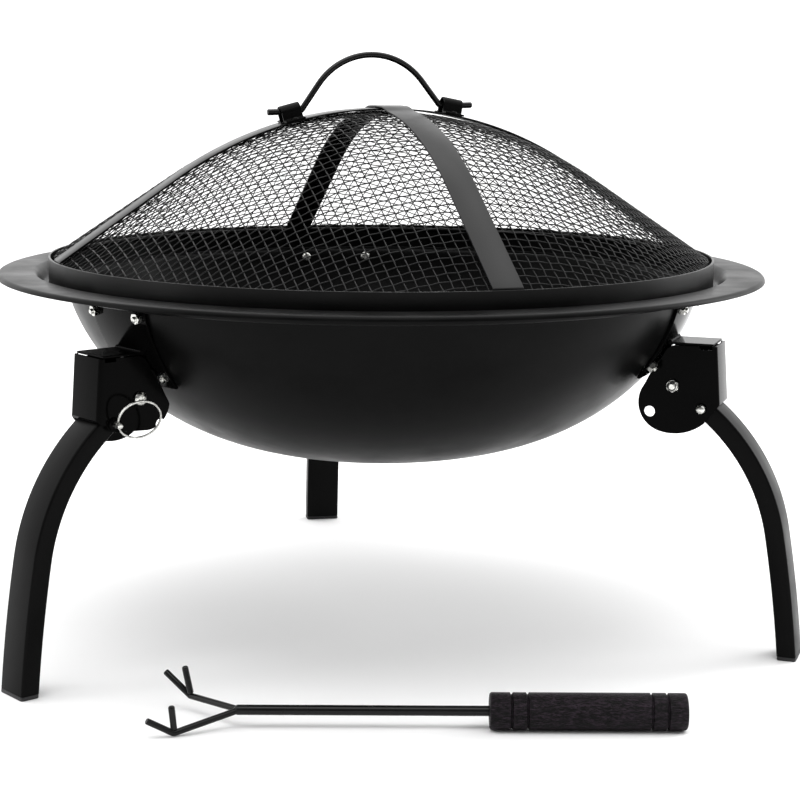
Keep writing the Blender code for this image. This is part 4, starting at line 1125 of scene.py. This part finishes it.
def make_grip(at):
    """Turned wooden grip: eased ends and two pairs of cut grooves."""
    bore, ease = GRIP_BORE, GRIP_EASE
    line = [(bore, 0.0)] + [(GRIP_RADIUS - ease + ease * math.sin(t), ease - ease * math.cos(t))
                            for t in [math.radians(15.0 * step) for step in range(7)]]
    for groove in GRIP_GROOVES:
        line += [(GRIP_RADIUS, groove - 0.001), (GRIP_RADIUS - 0.0004, groove - 0.0008),
                 (GRIP_RADIUS - 0.0012, groove - 0.0003), (GRIP_RADIUS - 0.0012, groove + 0.0003),
                 (GRIP_RADIUS - 0.0004, groove + 0.0008), (GRIP_RADIUS, groove + 0.001)]
    line += [(GRIP_RADIUS - ease + ease * math.cos(t), GRIP_LENGTH - ease + ease * math.sin(t))
             for t in [math.radians(15.0 * step) for step in range(7)]]
    line += [(0.0, GRIP_LENGTH)]
    bore_end = POKER_SHAFT - GRIP_START + 0.0003
    grip = revolve([(0.0, bore_end), (bore, bore_end)] + line, steps=64)
    place = at @ shift(GRIP_START, 0.0, 0.0) @ turn_by(90.0, "Y")
    piece("poker_grip_turned", grip, "poker_body", "stained_wood", ["poker_grip"], place, sharp=50.0)


# Setting

def make_camera():
    """The photograph's viewpoint: in front, a little above the screen's top."""
    pitch, yaw, roll = CAMERA_PITCH, CAMERA_YAW, CAMERA_ROLL
    ahead = Vector((math.sin(yaw) * math.cos(pitch), math.cos(yaw) * math.cos(pitch), -math.sin(pitch)))
    right = Vector((math.cos(yaw), -math.sin(yaw), 0.0))
    up = right.cross(ahead)
    level, tip = math.cos(roll), math.sin(roll)
    right, up = right * level + up * tip, up * level - right * tip
    lens = bpy.data.cameras.new("camera")
    lens.lens, lens.sensor_width = CAMERA_FOCAL_PIXELS / PHOTO_PIXELS * SENSOR_MM, SENSOR_MM
    lens.clip_start, lens.clip_end = 0.05, 60.0
    camera = bpy.data.objects.new("camera", lens)
    camera.matrix_world = Matrix((right, up, -ahead)).transposed().to_4x4()
    camera.location = BOWL_AXIS + CAMERA_PLACE
    show(camera)
    bpy.context.scene.camera = camera


def add_panel(name, where, size, power, aim=(0.0, 0.0, 0.2)):
    light = bpy.data.lights.new(name, "AREA")
    light.shape, light.size, light.size_y, light.energy = "RECTANGLE", size[0], size[1], power
    panel = bpy.data.objects.new(name, light)
    panel.location = where
    panel.rotation_mode = "QUATERNION"
    panel.rotation_quaternion = (Vector(aim) - Vector(where)).to_track_quat("-Z", "Y")
    show(panel)


def make_setting():
    shape = bmesh.new()
    bmesh.ops.create_grid(shape, x_segments=1, y_segments=1, size=14.0)
    bmesh.ops.translate(shape, verts=shape.verts, vec=(0.0, 0.0, -0.0002))
    floor = bpy.data.objects.new("floor", to_mesh(shape))
    show(floor)
    paper, tree, shader, spot = start("white_paper")
    cloud = node(tree, "TexNoise", {"Scale": per(333.3)}, Vector=spot).outputs["Fac"]
    tone = node(tree, "ValToRGB", {"stops": ((0.0, "#f6f6f6"), (1.0, "#f9f9f9"))}, Fac=cloud)
    tree.links.new(tone.outputs["Color"], shader.inputs["Base Color"])
    shader.inputs["Roughness"].default_value = 0.9
    shader.inputs["Specular IOR Level"].default_value = 0.1
    floor.data.materials.append(paper)
    make_surround()
    bpy.context.scene.view_settings.view_transform = "Standard"
    add_panel("right_panel", (2.3, 0.9, 1.1), (1.0, 1.8), 25.0)
    add_panel("left_panel", (-2.3, -0.7, 0.9), (0.7, 1.6), 9.0)
    add_panel("front_top_panel", (-0.3, -1.1, 2.3), (1.8, 0.7), 12.0)
    add_panel("top_panel", (0.1, 0.5, 2.6), (2.4, 1.8), 26.0)


def make_surround():
    """White room to the eye; for the light it is bright behind and above, and dim in front."""
    world = bpy.data.worlds.new("studio")
    bpy.context.scene.world = world
    world.use_nodes = True
    tree = world.node_tree
    way = node(tree, "SeparateXYZ", Vector=node(tree, "TexCoord").outputs["Generated"])
    lift = node(tree, "Math", {"operation": "MULTIPLY_ADD", 1: 1.0}, i0=way.outputs["Z"],
                i2=way.outputs["Y"]).outputs["Value"]
    room = node(tree, "MapRange", {"interpolation_type": "SMOOTHSTEP", "From Min": -0.35,
                                   "From Max": 0.55, "To Min": 0.22, "To Max": 1.7},
                Value=lift).outputs["Result"]
    seen = node(tree, "LightPath").outputs["Is Camera Ray"]
    strength = node(tree, "Math", {"operation": "MAXIMUM"}, i0=room, i1=seen).outputs["Value"]
    back = tree.nodes["Background"]
    back.inputs["Color"].default_value = (1.0, 1.0, 1.0, 1.0)
    tree.links.new(strength, back.inputs["Strength"])


def main():
    make_camera()
    make_setting()
    make_bowl()
    bolt = mount_bolt()
    for name in STATIONS:
        make_plate(name)
        make_housing(name)
        make_welds(name)
        make_pivot(name)
        make_lock_pin(name)
        make_split_ring(name)
        make_leg(name)
        places = [(side, height) for side in (-1, 1) for height in BOLT_HEIGHTS]
        for number, (side, height) in enumerate(places, start=1):
            label = f"_{name}_{number}"
            piece("mount_screw" + label, bolt.copy(), "bowl_body", "zinc_plated_steel",
                  ["mount_bolt" + label], station_place(name) @ bolt_place(side, height), sharp=40.0)
    make_screen()
    make_poker()


main()
